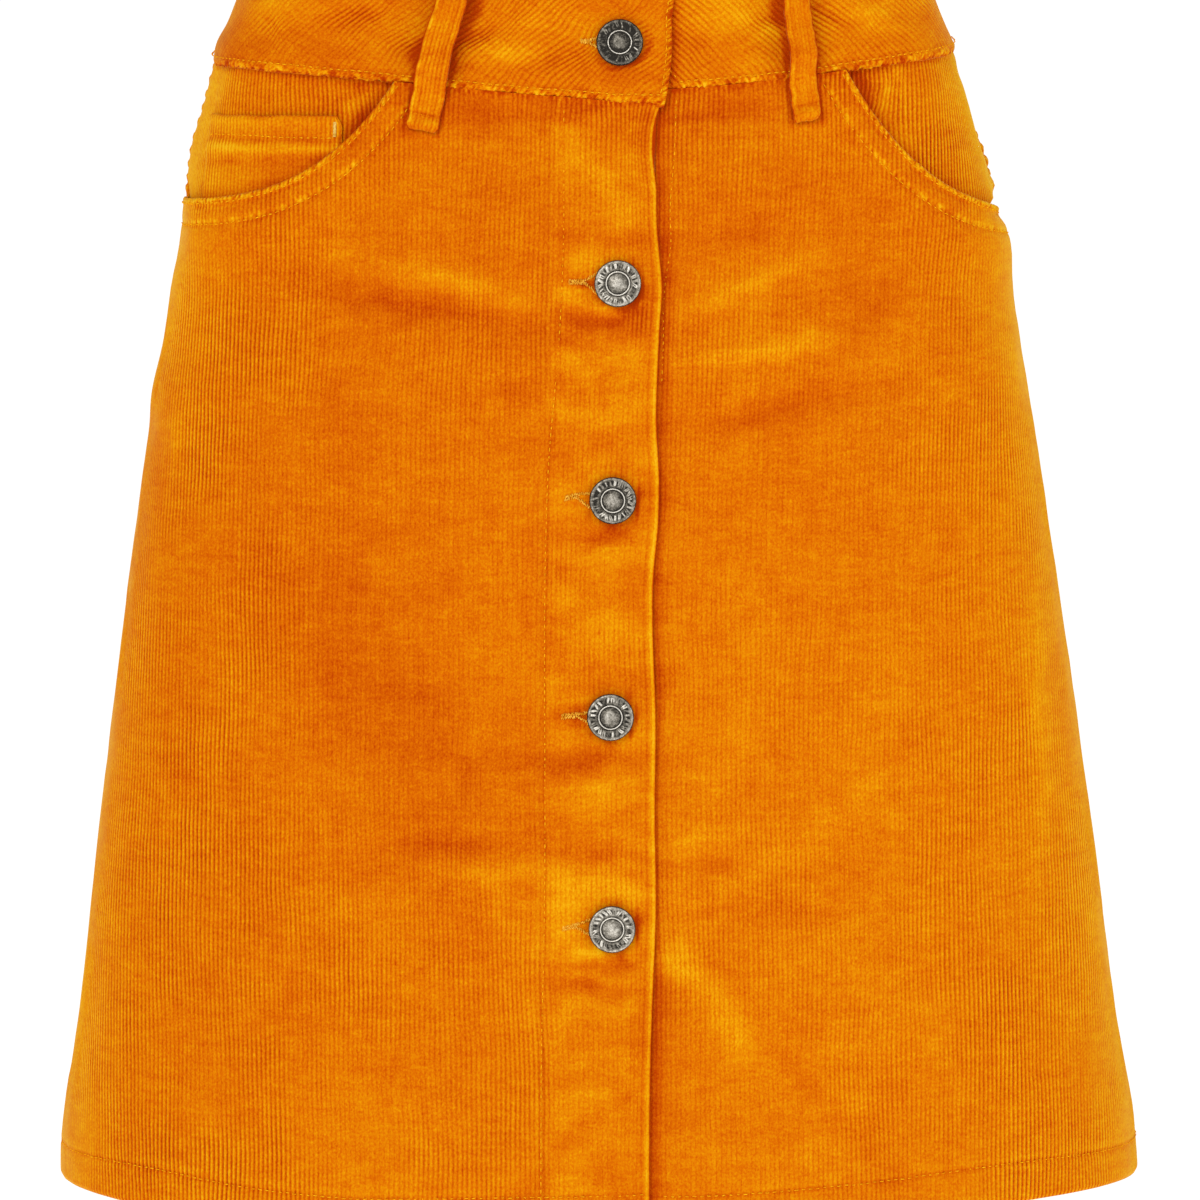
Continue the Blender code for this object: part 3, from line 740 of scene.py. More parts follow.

# Fine creases of the worn cloth: how deep each is and the tone painted on it, plus is out and pale:
# painted highlight on the ridges and painted shade in the troughs

creases = table(
    "arc height length width depth tone turn bend",
    (-66, -86, 34, 3.8, 0.5, 0.9, -15, 0),
    (-74, -97, 46, 4.6, -1, -1, -11, 0.02),
    (49, -88, 26, 3.8, 0.5, 0.8, 22, 0),
    (52, -69, 30, 3.8, -0.6, -0.6, 6, 0),
    (54, -111, 29, 4.6, 0.8, 1.1, 9, 0),
    (59, -134, 34, 5.4, -1, -0.9, 12, 0.02),
    (96, -96, 19, 8, -0.6, -0.5, 43, 0),
    (-2, -157, 11, 5, 0.3, 0.8, 0, 0),
    (-5, -210, 16, 9, 0.2, 0.5, 90, 0),
    (-1, -272, 14, 5, 0.4, 0.8, 0, 0),
    (-5, -308, 19, 7, 0.4, 0.9, 0, 0),
    (-3, -334, 9, 2.6, 0.4, 1.5, 0, 0.3),
    (-2, -381, 26, 9, 0.2, 0.4, 90, 0),
    (-39, -318, 20, 8, 0.3, 0.5, 90, 0),
    (42, -356, 31, 6, 0.4, 1.2, -48, 0),
    (72, -291, 26, 6, 0.2, 0.5, 32, 0),
    (-22, -330, 24, 9, 0.2, 0.5, 80, 0),
    (-96, -316, 20, 4, 0.2, 0.4, 14, 0),
    (32, -289, 9, 4, 0.3, 0.5, 0, 0),
    (170, -261, 62, 6, 0.4, 0.5, 87, 0),
    (-172, -145, 10, 4, 0.4, 0.5, 97, 0),
    (-89, -233, 55, 30, -0.5, -0.45, -52, 0),
    (-53, -294, 30, 3.4, -0.5, -0.6, 0, 0),
    (-42, -303, 16, 4, 0.3, 1, 0, 0),
    (36, -300, 13, 3, -0.4, -0.6, 0, 0),
    (56, -319, 29, 4, -0.4, -0.5, -1, 0),
    (62, -374, 56, 4.6, -0.3, -0.4, -45, 0),
    (-29, -421, 7, 2.6, -0.5, -0.7, 19, 0),
    (-45, -27, 16, 3.8, -0.5, -0.6, 0, 0),
    (36, -26, 18, 3.4, -0.5, -0.6, 0, 0),
    (-4, -100.5, 15, 2.8, -0.9, -1.7, 16, 0.35),
    (-3, -96, 12, 2.6, 0.5, 1.4, 12, 0.3),
    (-4, -181.2, 14, 3, -0.8, -1.3, 8, 0.2),
    (-18, -192, 8, 2.8, -0.3, -0.8, 0, 0),
    (-8, -260.6, 24, 4, -0.5, -1, 0, 0),
    (-6, -286, 16, 3.4, -0.3, -0.7, 0, 0),
    (0, -337.5, 13, 2.4, -0.9, -1.9, 6, 0.3),
    (-6, -345.5, 22, 3.4, -0.6, -1.2, -6, 0),
    (22, -337, 8, 7, 0.2, 0.9, 0, 0),
    (-17, -318, 7, 4, 0.1, 0.9, 0, 0),
    (9.5, -319, 5, 2.6, -0.1, -0.9, 10, 0),
    (-10, -79, 9, 4, 0.2, 0.9, -10, 0),
    (7.5, -99, 7, 4, -0.3, -1.1, 52, 0),
    (-12.5, -87.3, 5, 1.1, -0.2, -1.3, 0, 0),
    (-12.5, -165.5, 4.5, 1.1, -0.2, -1.2, 0, 0),
    (-12.5, -245.3, 5, 1.1, -0.2, -1.2, 0, 0),
    (-12.5, -322.3, 5, 1.1, -0.2, -1.2, 0, 0),
    (-9, -87.6, 2.4, 1.3, -0.8, -1.8, 0, 0),
    (-9, -166.2, 2.4, 1.3, -0.8, -1.8, 0, 0),
    (-9, -246, 2.4, 1, -0.6, -1.5, 0, 0),
    (-9, -322.6, 2.4, 1.2, -0.7, -1.6, 0, 0),
)
# those of the back, by the distance from its middle, plus on the wearer's left
backCreases = table(
    "arc height length width depth tone turn bend",
    (-66, -78, 40, 4.6, -0.8, -0.9, 13, 0.02),
    (-58, -90, 32, 4.4, 0.6, 0.9, 11, 0),
    (60, -72, 36, 4.4, -0.8, -0.9, -12, 0.02),
    (72, -86, 30, 5, 0.7, 1, -9, 0),
    (95, -130, 26, 4.4, -0.5, -0.7, 28, 0),
    (-98, -148, 26, 5, 0.5, 0.7, -24, 0),
    (-34, -150, 40, 13, 0.4, 0.4, 20, 0),
    (44, -186, 50, 15, -0.5, -0.5, -32, 0),
    (-112, -240, 60, 18, -0.5, -0.4, 70, 0),
    (122, -252, 60, 20, 0.5, 0.4, -74, 0),
    (-22, -296, 30, 4, -0.5, -0.7, 8, 0),
    (-52, -330, 46, 8, 0.5, 0.6, -48, 0),
    (62, -346, 50, 7, -0.5, -0.5, 44, 0),
    (26, -384, 34, 4, 0.4, 0.6, -8, 0),
    (-70, -398, 26, 4, -0.4, -0.6, 10, 0),
)
bandCreases = table(
    "arc height length width depth tone turn bend",
    (75, 9, 9, 3, -0.5, -0.9, -25, 0),
    (-30, 12, 14, 6, 0.3, 0.6, 30, 0),
    (-100, 9, 12, 4, -0.3, -0.6, 20, 0),
    (40, 12, 12, 6, 0.3, 0.6, -30, 0),
    (-54, 1.5, 9, 3, -0.7, -0.7, 14, 0),
    (-42, -3, 11, 5, 0.5, 0.8, 8, 0),
    (-74, -1, 9, 3.4, -0.6, -0.7, 4, 0),
    (53.6, 8.4, 9, 2.2, -0.7, -0.9, 8, 0),
    (58, 4, 8, 2.6, 0.5, 0.7, 8, 0),
    (95, 10, 16, 4, 0.8, 0.7, -20, 0),
    (-137, 13, 12, 5, 0.4, 0.5, 10, 0),
    (29, -3, 10, 4, -0.4, -0.7, -40, 0),
)

facingCreases = table(
    "arc height length width depth tone turn bend",
    (88.5, -13, 5, 2.6, -0.2, -1.6, -62, 0),
    (92, -23, 5, 3, -0.25, -1.8, -60, 0),
    (97, -34, 6, 3, -0.2, -1.4, -50, 0),
    (99, -18, 7, 2.6, 0.5, 1.1, -78, 0.2),
    (106, -10, 6, 3, 0.3, 0.7, 60, 0),
    (-95, -29, 6, 4, -0.2, -1.6, 60, 0),
    (-100, -23, 7, 3, 0.5, 1.1, 55, -0.2),
    (-97, -14, 5, 3, -0.1, -0.8, 50, 0),
)

# where the band's ribs crowd together and lie flatter: how far they slide there
bandBends = table(
    "arc height length width slide turn",
    (-54, 0.5, 10, 4, 3.6, 0),
    (-75, -1, 8, 4, 3.2, 0),
    (-99, 9, 14, 5, 3.2, 0),
    (-17, -6, 11, 5, 2.6, 0),
    (8, -8, 7, 4, 2.4, 0),
    (-132, 6, 12, 5, 2.4, 0),
    (56, 7, 8, 4, 3, 0),
    (75, 8, 9, 5, 3.2, 0),
    (118, 14, 12, 5, 2.2, 0),
    (232, 22, 14, 6, 2.6, 0),
    (-240, 20, 14, 6, 2.6, 0),
    (310, 30, 14, 6, 2.4, 0),
    (-318, 28, 14, 6, 2.4, 0),
)

# how the lap's edge and the placket's stitching wander on their way down
bandEdge = table(
    "height arc",
    (25, 19.4), (20, 19.5), (8, 18.6), (0, 18.8), (-8, 18.3), (-14, 17.6), (-19, 16.6), (-23, 15),
)
lapEdge = table(
    "height arc",
    (-22, 14.8), (-30, 12.6), (-40, 12), (-54, 13.6), (-63, 13.7), (-72, 14.4), (-80, 15.5), (-90, 16.5),
    (-102, 16.1), (-119, 15.8), (-136, 15.8), (-162, 17.6), (-174, 17.5), (-196, 15.8), (-213, 15.8),
    (-245, 17), (-280, 16.8), (-320, 17), (-345, 15.8), (-364, 14.9), (-418, 13.6), (-438, 13.5),
)
# how wide the painted shadow of the lap's edge on the underlap is, from the top down
lapShade = table(
    "height width",
    (-20, 2.6), (-55, 3.4), (-100, 4.2), (-150, 4), (-168, 2), (-190, 2.8), (-225, 2.8), (-245, 1.9),
    (-330, 1.9), (-350, 2.8), (-438, 3),
)
placketSewing = table(
    "height arc",
    (-18, -20.8), (-110, -20.8), (-155, -23.3), (-178, -23.7), (-331, -24.3), (-360, -25.3),
    (-438, -26.6),
)
underlapSewing = table(
    "height arc",
    (-18, 20.6), (-41, 19.9), (-63, 18.6), (-71, 19.1), (-77, 18.9), (-82, 18.1), (-88, 17.5),
    (-112, 17.5), (-140, 17.2),
)
hemSewing = {
    "Right": table(
        "away height",
        (-16, -421), (20, -422), (60, -423), (95, -424), (136, -422), (179, -418), (236, -418),
        (262, -418),
    ),
    "Left": table(
        "away height",
        (-16, -421), (24, -422), (88, -419), (148, -415), (233, -416), (262, -416),
    ),
}
stitching = {
    "pitch": 2.7,
    "length": 1.8,
    "radius": 0.21,
    "sides": 6,
    "inEdge": 2.1,
    # rings of one stitch: how far along it each lies, how thick it is and how high the thread arches
    "shares": np.array([0, 0.14, 0.5, 0.86, 1]),
    "girths": np.array([0, 0.85, 1, 0.85, 0]),
    "rises": np.array([-0.35, 0.3, 1, 0.3, -0.35]),
    # the pocket's two rows: how far beside its edge, and how high above the cloth
    "pocketRows": ((2.3, 0.2), (10, -0.15)),
    "hemGirthAt": -420,
}

# how pale the nap of each front lies on the whole, from its top down
frontNap = table("height right left", (-20, 0, 0), (-120, 0, 0.1), (-250, 0, 0.3), (-440, 0.3, 0.3))
# how clearly the ribs show on each front, from its top down, and at its side
frontRibs = table(
    "height right left",
    (-20, 0.7, 0.58), (-85, 0.66, 0.55), (-140, 0.36, 0.46), (-270, 0.34, 0.45), (-320, 0.8, 0.58),
    (-440, 0.88, 0.62),
)
sideRibs = {"Right": 1.35, "Left": 1.2}
# how far in front of its seam each side turns away, how that goes on behind it and over what
# reach, and how much paler the painted sheen makes the cloth there
sideTurn = {"Right": 10, "Left": 26, "behind": -0.7, "reach": 66}
sideSheen = table(
    "height right left",
    (-60, 1.5, 1.6), (-84, 1.5, 1.7), (-156, 0.6, 1.3), (-232, 0.8, 1), (-308, 0.8, 1.1), (-384, 1, 1.1),
    (-440, 1, 1.1),
)


def sideSheenTone(fromSide, height, half):
    # painted sheen: the paler tone of the front and back panels where their side turns away
    pale = smooth(height, sideSheen["height"], sideSheen[half.lower()])
    before = np.where(fromSide > 0, fromSide - sideTurn[half], sideTurn["behind"] * fromSide)
    return pale * fade(before, 0, sideTurn["reach"])


def along(line, height):
    return smooth(height, line["height"], line["arc"])


buttons = {
    "arcs": (-0.5, 0.1, 0.6, 0.3, 0.8),
    "heights": (-0.4, -87.9, -166.8, -246.1, -323.7),
    "steps": 288,
    "marks": 24,
    "markHeight": 0.16,
    "markShine": (2.4, 3.4, 3.4, 3.4, 3.4),
    "polish": (-0.85, 0.1, -0.3, -0.2, 0.15),
}

# Belt loops: a strip with folded sides, sewn down at both ends and turned under at its foot

loop = {
    "width": 10.4,
    "pitch": 1.35,
    "cloth": 1.8,
    "clearance": 0.6,
    "gap": 6,
    "low": -17,
    "high": 41,
    "seamStep": (-4.3, -1),
    "foot": (-1, 6),
    "head": (33, 38.5),
    "sewnAt": (-11.4, 39),
}
loops = {
    name: dict(zip(("half", "share", "lean", "shift", "tilt", "wide"), values))
    for name, *values in (
        ("front_right", "Right", 0.1915, -0.057, -0.6, 0.24, 1.13),
        ("front_left", "Left", 0.185, 0.048, -0.6, 0.2, 0.97),
        ("back_right", "Right", 0.8, 0, 0, 0.05, 1),
        ("back_left", "Left", 0.8, 0, 0, -0.05, 1),
        ("back_centre", "Left", 1, 0, 0, 0, 1),
    )
}


def loopSeam(which):
    return waistSeam(which["share"] * girth(cut["waistGirthAt"]) / 2, which["half"])


def loopPlace(which, level, across):
    height = loopSeam(which) + level
    away = which["share"] * girth(height) / 2 + which["lean"] * level + which["shift"]
    return away + across * which["wide"], height + across * which["tilt"]


def loopShadows(arc, height):
    # painted shadow: the dark lines that the loops' sides throw on what they lie on, and the shade under
    # them where they stand free and just below their feet
    shade = np.zeros(np.shape(arc))
    for which in loops.values():
        sign = sideSign[which["half"]]
        level = height - loopSeam(which)
        away, _ = loopPlace(which, level, 0)
        outside = np.abs(arc - sign * away) - loop["width"] / 2 * which["wide"]
        reached = ease(level, loop["low"] - 2, loop["low"] + 0.5)
        lowEnd = loop["low"] + which["tilt"] * (sign * arc - away)
        below = bell(level - lowEnd + 0.8, 1) * (outside < 0)
        reach = 1.2 + 0.5 * ease(level, 0, 8)
        shade += np.where(outside > 0, bell(outside - 0.5, reach), ease(level, 0, 5)) * reached + below
    return shade


def buttonShadows(arc, height):
    # painted shadow: the dark line round each button's foot, heavier below it and on the wearer's left
    shade = np.zeros(np.shape(arc))
    for middle, level in zip(buttons["arcs"], buttons["heights"]):
        away = np.hypot(arc - middle, height - level)
        lean = (arc - middle - (height - level)) / 12
        shade += (0.7 + 0.5 * lean) * bell(away - 8.9, 0.8)
    return shade


def creased(arc, height, bumps, seed):
    # the creases' relief and their painted shade and highlight, with outlines that stray a little
    strayArc = arc + 3 * unevenness(arc / 12, height / 8, seed)
    strayHeight = height + 2.2 * unevenness(arc / 9, height / 11, seed + 1)
    return swell(strayArc, strayHeight, bumps), swell(strayArc, strayHeight, bumps, "tone")


def pressedAndShaded(marks, **lines):
    # the relief of soft marks that run beside the named lines of a piece, and their tone: mostly painted
    # shade and painted highlight
    relief = tone = 0
    for line, beside, reach, depth, shade in marks:
        mark = bell(lines[line] - beside, reach)
        relief = relief + depth * mark
        tone = tone + shade * mark
    return relief, tone


def rope(gap, way, tall, seed):
    # an edge that its stitches draw up: ribs that roll over it as uneven beads, with a groove behind
    # them, as relief and as tone. The tone is pale tufts and painted highlight on the crest, and painted
    # shade in the groove
    straying = way + 0.4 * gap + 0.9 * unevenness(way / 4, 0, seed)
    fuller = 0.8 + 0.9 * unevenness(way / 2.9, gap / 9, seed)
    beads = np.cos(2 * np.pi * straying / cloth["pitch"]) * fuller
    lumps = unevenness(way / 4.2, gap / 5, seed + 1)
    tufts = unevenness(way / 0.75, gap / 0.6, seed + 2)
    crest = bell(gap - 1.2, 1)
    groove = bell(gap - 3.2, 0.8) * (0.7 + 0.6 * unevenness(way / 3.1, 0, seed + 3))
    relief = tall * (1 + 0.5 * beads + 0.5 * lumps + 0.3 * tufts) * crest - 0.8 * tall * groove
    return relief, (0.3 + 0.2 * beads + 0.6 * lumps + 2.4 * tufts) * crest - 0.5 * groove


# Marks beside a piece's lines: which line, how far beside it, reach, depth and tone. The tone is mostly
# painted shade in seams, sewing and grooves, under the band and along dark edges, and painted highlight
# on rounded edges and the ridges beside them

frontMarks = (
    ("waist", 0, 1.4, 0.3, 0), ("waist", 0, 9, 0, -0.6),
    ("side", 0, 0.9, -0.8, 0), ("hem", 0, 0.9, -0.9, 0),
    ("hemSewing", 0, 0.9, -0.3, 0), ("hemSewing", 0, 0.8, 0, -0.7), ("hemSewing", 2, 1.4, 0, 0.3),
    ("scoop", 0, 0.5, -0.5, 0), ("scoop", 0, 0.25, 0, -2), ("scoop", 6.5, 2.2, 0.2, 0),
    ("scoop", 8.4, 0.8, 0, 0.25), ("scoop", 10, 1, -0.35, -0.4),
)
lapMarks = (
    ("edge", 0, 0.7, -0.8, 0), ("edge", 0, 0.25, 0, -3), ("edge", 1, 1, 0, 1.5), ("edge", 3, 1, 0, -0.3),
    ("sewing", 0, 0.8, -0.35, 0), ("sewing", 0, 0.9, 0, -0.35), ("sewing", -2, 1.2, 0, 0.15),
)
backMarks = (
    ("hem", 0, 0.9, -0.9, 0), ("side", 0, 0.9, -0.8, 0),
    ("middle", 0, 0.9, -0.6, 0), ("middle", 0, 0.8, 0, -0.6),
    ("waist", 0, 0.9, -0.45, 0), ("waist", 0, 1.8, 0, -0.7), ("waist", 0, 9, 0, -0.35),
    ("hemSewing", 0, 0.9, -0.3, -0.35),
)
bandMarks = (
    ("low", 0, 0.6, -0.9, 0), ("low", 0, 2.6, -0.35, 0), ("low", 8, 5, 0, -0.3),
    ("high", 0, 0.6, -0.9, 0), ("back", 0, 0.6, -0.9, 0),
    ("edge", 0, 0.6, -0.9, 0), ("edge", 0, 0.25, 0, -2),
)
facingMarks = (("side", 0, 0.7, -0.5, 0), ("side", 0, 0.6, 0, -0.7), ("waist", 0, 2.4, 0, -0.7))
coinMarks = (
    ("top", 0, 0.5, -0.4, 0), ("top", 1.6, 1.4, 0.3, 0), ("top", 2, 1.4, 0, 0.3),
    ("top", 8, 0.9, -0.35, 0), ("top", 8.6, 1.2, 0, -0.6),
    ("top", 12, 1.6, 0, 1.2), ("top", 12.5, 2.6, 0.5, 0),
    ("top", 16.5, 2.2, 0, -0.5), ("top", 17, 2, -0.3, 0),
    ("front", 0, 0.6, -0.7, 0), ("front", 1.4, 1.2, 0, 0.7),
)
loopMarks = (
    ("side", 0, 0.6, -0.9, 0), ("side", 0, 0.25, 0, -2.6), ("side", 1.3, 1, 0.15, 0),
    ("side", 2.4, 0.7, 0, -0.35), ("low", 0, 0.6, -0.9, 0), ("sewing", 0, 0.8, -0.6, 0),
)

# Where the rows of the panels' meshes lie closer: how high up, over what reach and how far apart

frontRows = (
    (0, 4, 0.8), (17, 5, 1.2), (92, 12, 2.2), (137, 11, 2), (176, 12, 2.6), (256, 9, 2.4), (330, 36, 2),
    (panelLength, 16, 0.85),
)
backRows = ((0, 4, 0.9), (17, 5, 1.6), (panelLength - 32, 30, 1.2), (panelLength, 7, 1.1))


def startEdge(half):
    # a front and its half of the band start one lap's width past the centre
    return -cut["lap"] + (cut["seamGap"] if half == "Left" else 0)


def quarter(height):
    # the side seams lie a quarter of the way round from the centre front
    return girth(height) / 4


def hemTurning(away, height, half):
    # how far above the hem's edge a place is, and the panel's wall, thicker where the hem is turned up
    above = height - hem(away, half)
    return above, np.where(above < cut["hemBand"] + 0.5, cut["hemCloth"], cut["cloth"])


def panelStops(levels, lines):
    rowStops = pickStops(levels * panelLength, cloth["coarseUp"], (cut["hemBand"], cut["hemBand"] + 2))
    return rowStops, pickStops(lines, cloth["coarseAcross"])


def frontPanel(half):
    edge = startEdge(half)
    # the underlap is plain where the lap hides it
    plainTo = None if half == "Right" else cut["hiddenTo"]
    lines = ribLines(edge, quarter(cut["hemGirthAt"]), cloth["pitch"], plainTo=plainTo)
    levels = rowLevels(panelLength, 6, *frontRows)
    away, height = panelGrid(
        lines,
        levels,
        lambda at: hem(at, half),
        lambda at: frontTop(at, half),
        quarter,
    )
    rib = np.minimum(lines, away) / cloth["pitch"]
    arc = sideSign[half] * away
    base = pocketRise(away, height, half)
    above, thickness = hemTurning(away, height, half)
    fromEdge = away - edge
    fromSide = quarter(height) - away
    fromScoop, alongScoop = distanceTo(away, height, *scoopLine(half))
    fromWaist = np.where(away < pocket["start"], waistSeam(away, half) - height, 1e3)
    fromTop = np.minimum(fromScoop, fromWaist)
    onPlacket = fade(np.abs(away), cut["placket"] - 2, cut["placket"] + 2)
    onPlacket *= 1 if half == "Right" else 0.4
    toSide = ease(away, 60, 165)
    toHemSewing = height - smooth(away, hemSewing[half]["away"], hemSewing[half]["height"])
    shown = smooth(height, frontRibs["height"], frontRibs[half.lower()])
    shown += (sideRibs[half] - shown) * ease(away, 90, 160)
    shown += (0.44 - shown) * onPlacket + 0.4 * bell(fromWaist, 9)
    # the ribs stand out in the hollow under the second button, beside the lap
    standing = bell(arc - 8, 7) * bell(height + 101, 9)
    relief, plush = weave(rib, arc, height, 3, shown + 0.7 * standing, 0.9 * standing)
    relief *= ease(above, 0.2, 1.6) * ease(fromSide, 0.2, 1.4) * ease(fromTop, 0.1, 1)
    marked = pressedAndShaded(
        frontMarks, waist=fromWaist, side=fromSide, hem=above, hemSewing=toHemSewing, scoop=fromScoop
    )
    depth, tone = creased(arc, height, creases, 24)
    ridge, ridgeTone = rope(fromScoop, alongScoop, 0.38, 26)
    quiet = 1 - 0.6 * ease(away, 160, 185)
    ribbed = np.cos(2 * np.pi * alongScoop / cloth["pitch"])
    relief += marked[0] + depth + ridge * quiet + 0.15 * unevenness(arc / 8, height / 9, 12)
    relief += 0.35 * unevenness(arc / 26, height / 30, 11) * (1 - 0.5 * toSide)
    relief += 0.25 * bell(toHemSewing, 4) * unevenness(arc / 5, height / 30, 13)
    relief += 0.12 * ribbed * bell(fromScoop - 10, 1) - 0.3 * bell(fromScoop, 1.6) * fade(fromSide, 1, 9)
    # the marks' painted shade and highlight, and painted highlight on the pocket edge's rope with painted
    # shade in its groove
    tone += marked[1] + (ridgeTone + 0.4 * bell(fromScoop - 1.2, 1)) * quiet
    tone += (0.8 + 1.6 * unevenness(alongScoop, 0, 49)) * bell(fromScoop - 9.1, 0.8)
    # specks along the waist seam on a painted line of shade under the band
    tone += (-0.35 + 1.6 * unevenness(away / 0.9, height / 2.2, 46)) * bell(fromWaist, 2)
    # the nap's paleness by height, and painted sheen where the side turns away
    tone += smooth(height, frontNap["height"], frontNap[half.lower()]) + sideSheenTone(fromSide, height, half)
    tone += (0.2 - 0.12 * toSide + 0.4 * onPlacket) * smudges(arc, height, 27) + 0.2 * onPlacket
    tone += 0.12 * unevenness(arc / 17, height / 60, 14)
    # painted shadows beside the belt loops and round the buttons
    tone -= 1.5 * loopShadows(arc, height) + 1.8 * buttonShadows(arc, height)
    if half == "Right":
        base += lapRise(away)
        thickness[away < cut["placket"] + cut["seamGap"]] = cut["placketCloth"]
        arc = arc + (along(lapEdge, height) - cut["lap"]) * fade(away, -cut["lap"], 2)
        toSewing = arc - along(placketSewing, height)
        marked = pressedAndShaded(lapMarks, edge=fromEdge, sewing=toSewing)
        relief += marked[0] + 0.2 * bell(toSewing, 3.5) * unevenness(0, height / 5, 15)
        tone += marked[1]
    else:
        base += lapDip(away, underlapDepth)
        thickness[away < cut["placket"] + cut["seamGap"]] = cut["underlapCloth"]
        relief -= 0.3 * bell(arc - along(underlapSewing, height), 0.8) * (height > -142)
        # painted shadow of the lap's edge on the underlap
        fromLap = arc - along(lapEdge, height)
        reach = smooth(height, lapShade["height"], lapShade["width"])
        tone -= 0.75 * fade(fromLap, 0.35 * reach, 1.7 * reach) + 0.5 * fade(fromLap, 0, 9)
    settled = ease(fromEdge, 0, 12) * ease(fromSide, 0, 12) * ease(fromTop, 0, 10)
    clothPiece(
        ("front_" + half.lower(), "front_panel_" + half.lower(), ["waistband_" + half.lower()]),
        panelStops(levels, lines),
        arc=arc + wander(arc, height, 28) * settled,
        height=height + 0.12 * ribbed * bell(fromScoop, 1.2),
        base=base, relief=relief, thickness=thickness,
        rib=rib, along=height / cloth["pitch"], nap=tone, plush=plush,
    )


def backPanel(half):
    sign = sideSign[half]
    lines = ribLines(0, quarter(cut["hemGirthAt"]), cloth["pitch"])
    levels = rowLevels(panelLength, 6.5, *backRows)
    away, height = panelGrid(
        lines,
        levels,
        lambda at: hem(at, half),
        lambda at: waistSeam(at, half) - cut["seamGap"],
        quarter,
        fromBack=True,
    )
    arc = sign * away
    above, thickness = hemTurning(away, height, half)
    fromMiddle = girth(height) / 2 - away
    fromSide = away - quarter(height)
    fromWaist = waistSeam(away, half) - height
    rib = fromMiddle / cloth["pitch"]
    relief, plush = weave(rib, arc, height, 5, 1.2 - 0.6 * ease(fromSide, 20, 90))
    relief *= ease(above, 0.2, 1.6) * ease(fromSide, 0.2, 1.4) * ease(fromMiddle, 0.2, 1.4)
    marked = pressedAndShaded(
        backMarks, waist=fromWaist, side=fromSide, middle=fromMiddle, hem=above,
        hemSewing=above - cut["backHemSewing"],
    )
    depth, tone = creased(sign * fromMiddle, height, backCreases, 51)
    relief += marked[0] + depth
    relief += 0.45 * unevenness(arc / 30, height / 44, 16) + 0.15 * unevenness(arc / 9, height / 14, 17)
    # the side seam puckers beside the pocket, where the cloth is thickest, with painted shade deepest in
    # their hollows
    puckered = ease(height, -72, -52) * fade(height, -16, -4) * bell(fromSide - 1.5, 4.5)
    pucker = 2 * np.abs(np.cos(np.pi * (height + 0.9 * unevenness(0, height / 5, 29)) / 5.1)) - 1.2
    relief += 0.6 * pucker * puckered
    # the marks' painted shade, painted shade in the puckers and painted sheen where the side turns away
    tone += marked[1] + (0.5 * pucker - 0.9) * puckered + sideSheenTone(-fromSide, height, half)
    tone += 0.12 * unevenness(arc / 17, height / 60, 18) + 0.2 * smudges(arc, height, 32)
    # more painted sheen towards the side seam, and painted shadow beside the loops
    tone += 0.2 * fade(fromSide, 0, 60) - 1.5 * loopShadows(arc, height)
    settled = ease(fromMiddle, 0, 12) * ease(fromSide, 0, 12) * ease(fromWaist, 0, 10)
    bulge = (1.4 * bell(height + 61, 4) - 1.2 * bell(height + 53.5, 3)) * bell(fromSide, 12)
    clothPiece(
        ("back_" + half.lower(), "back_panel_" + half.lower(), ["waistband_" + half.lower()]),
        panelStops(levels, lines),
        arc=arc + wander(arc, height, 33) * settled,
        height=height,
        base=bulge * (half == "Left"), relief=relief, thickness=thickness,
        rib=rib, along=height / cloth["pitch"], nap=tone, plush=plush,
    )


def bandBase(away, half):
    return cut["bandProud"] + (lapRise(away) if half == "Right" else lapDip(away, bandDepth))


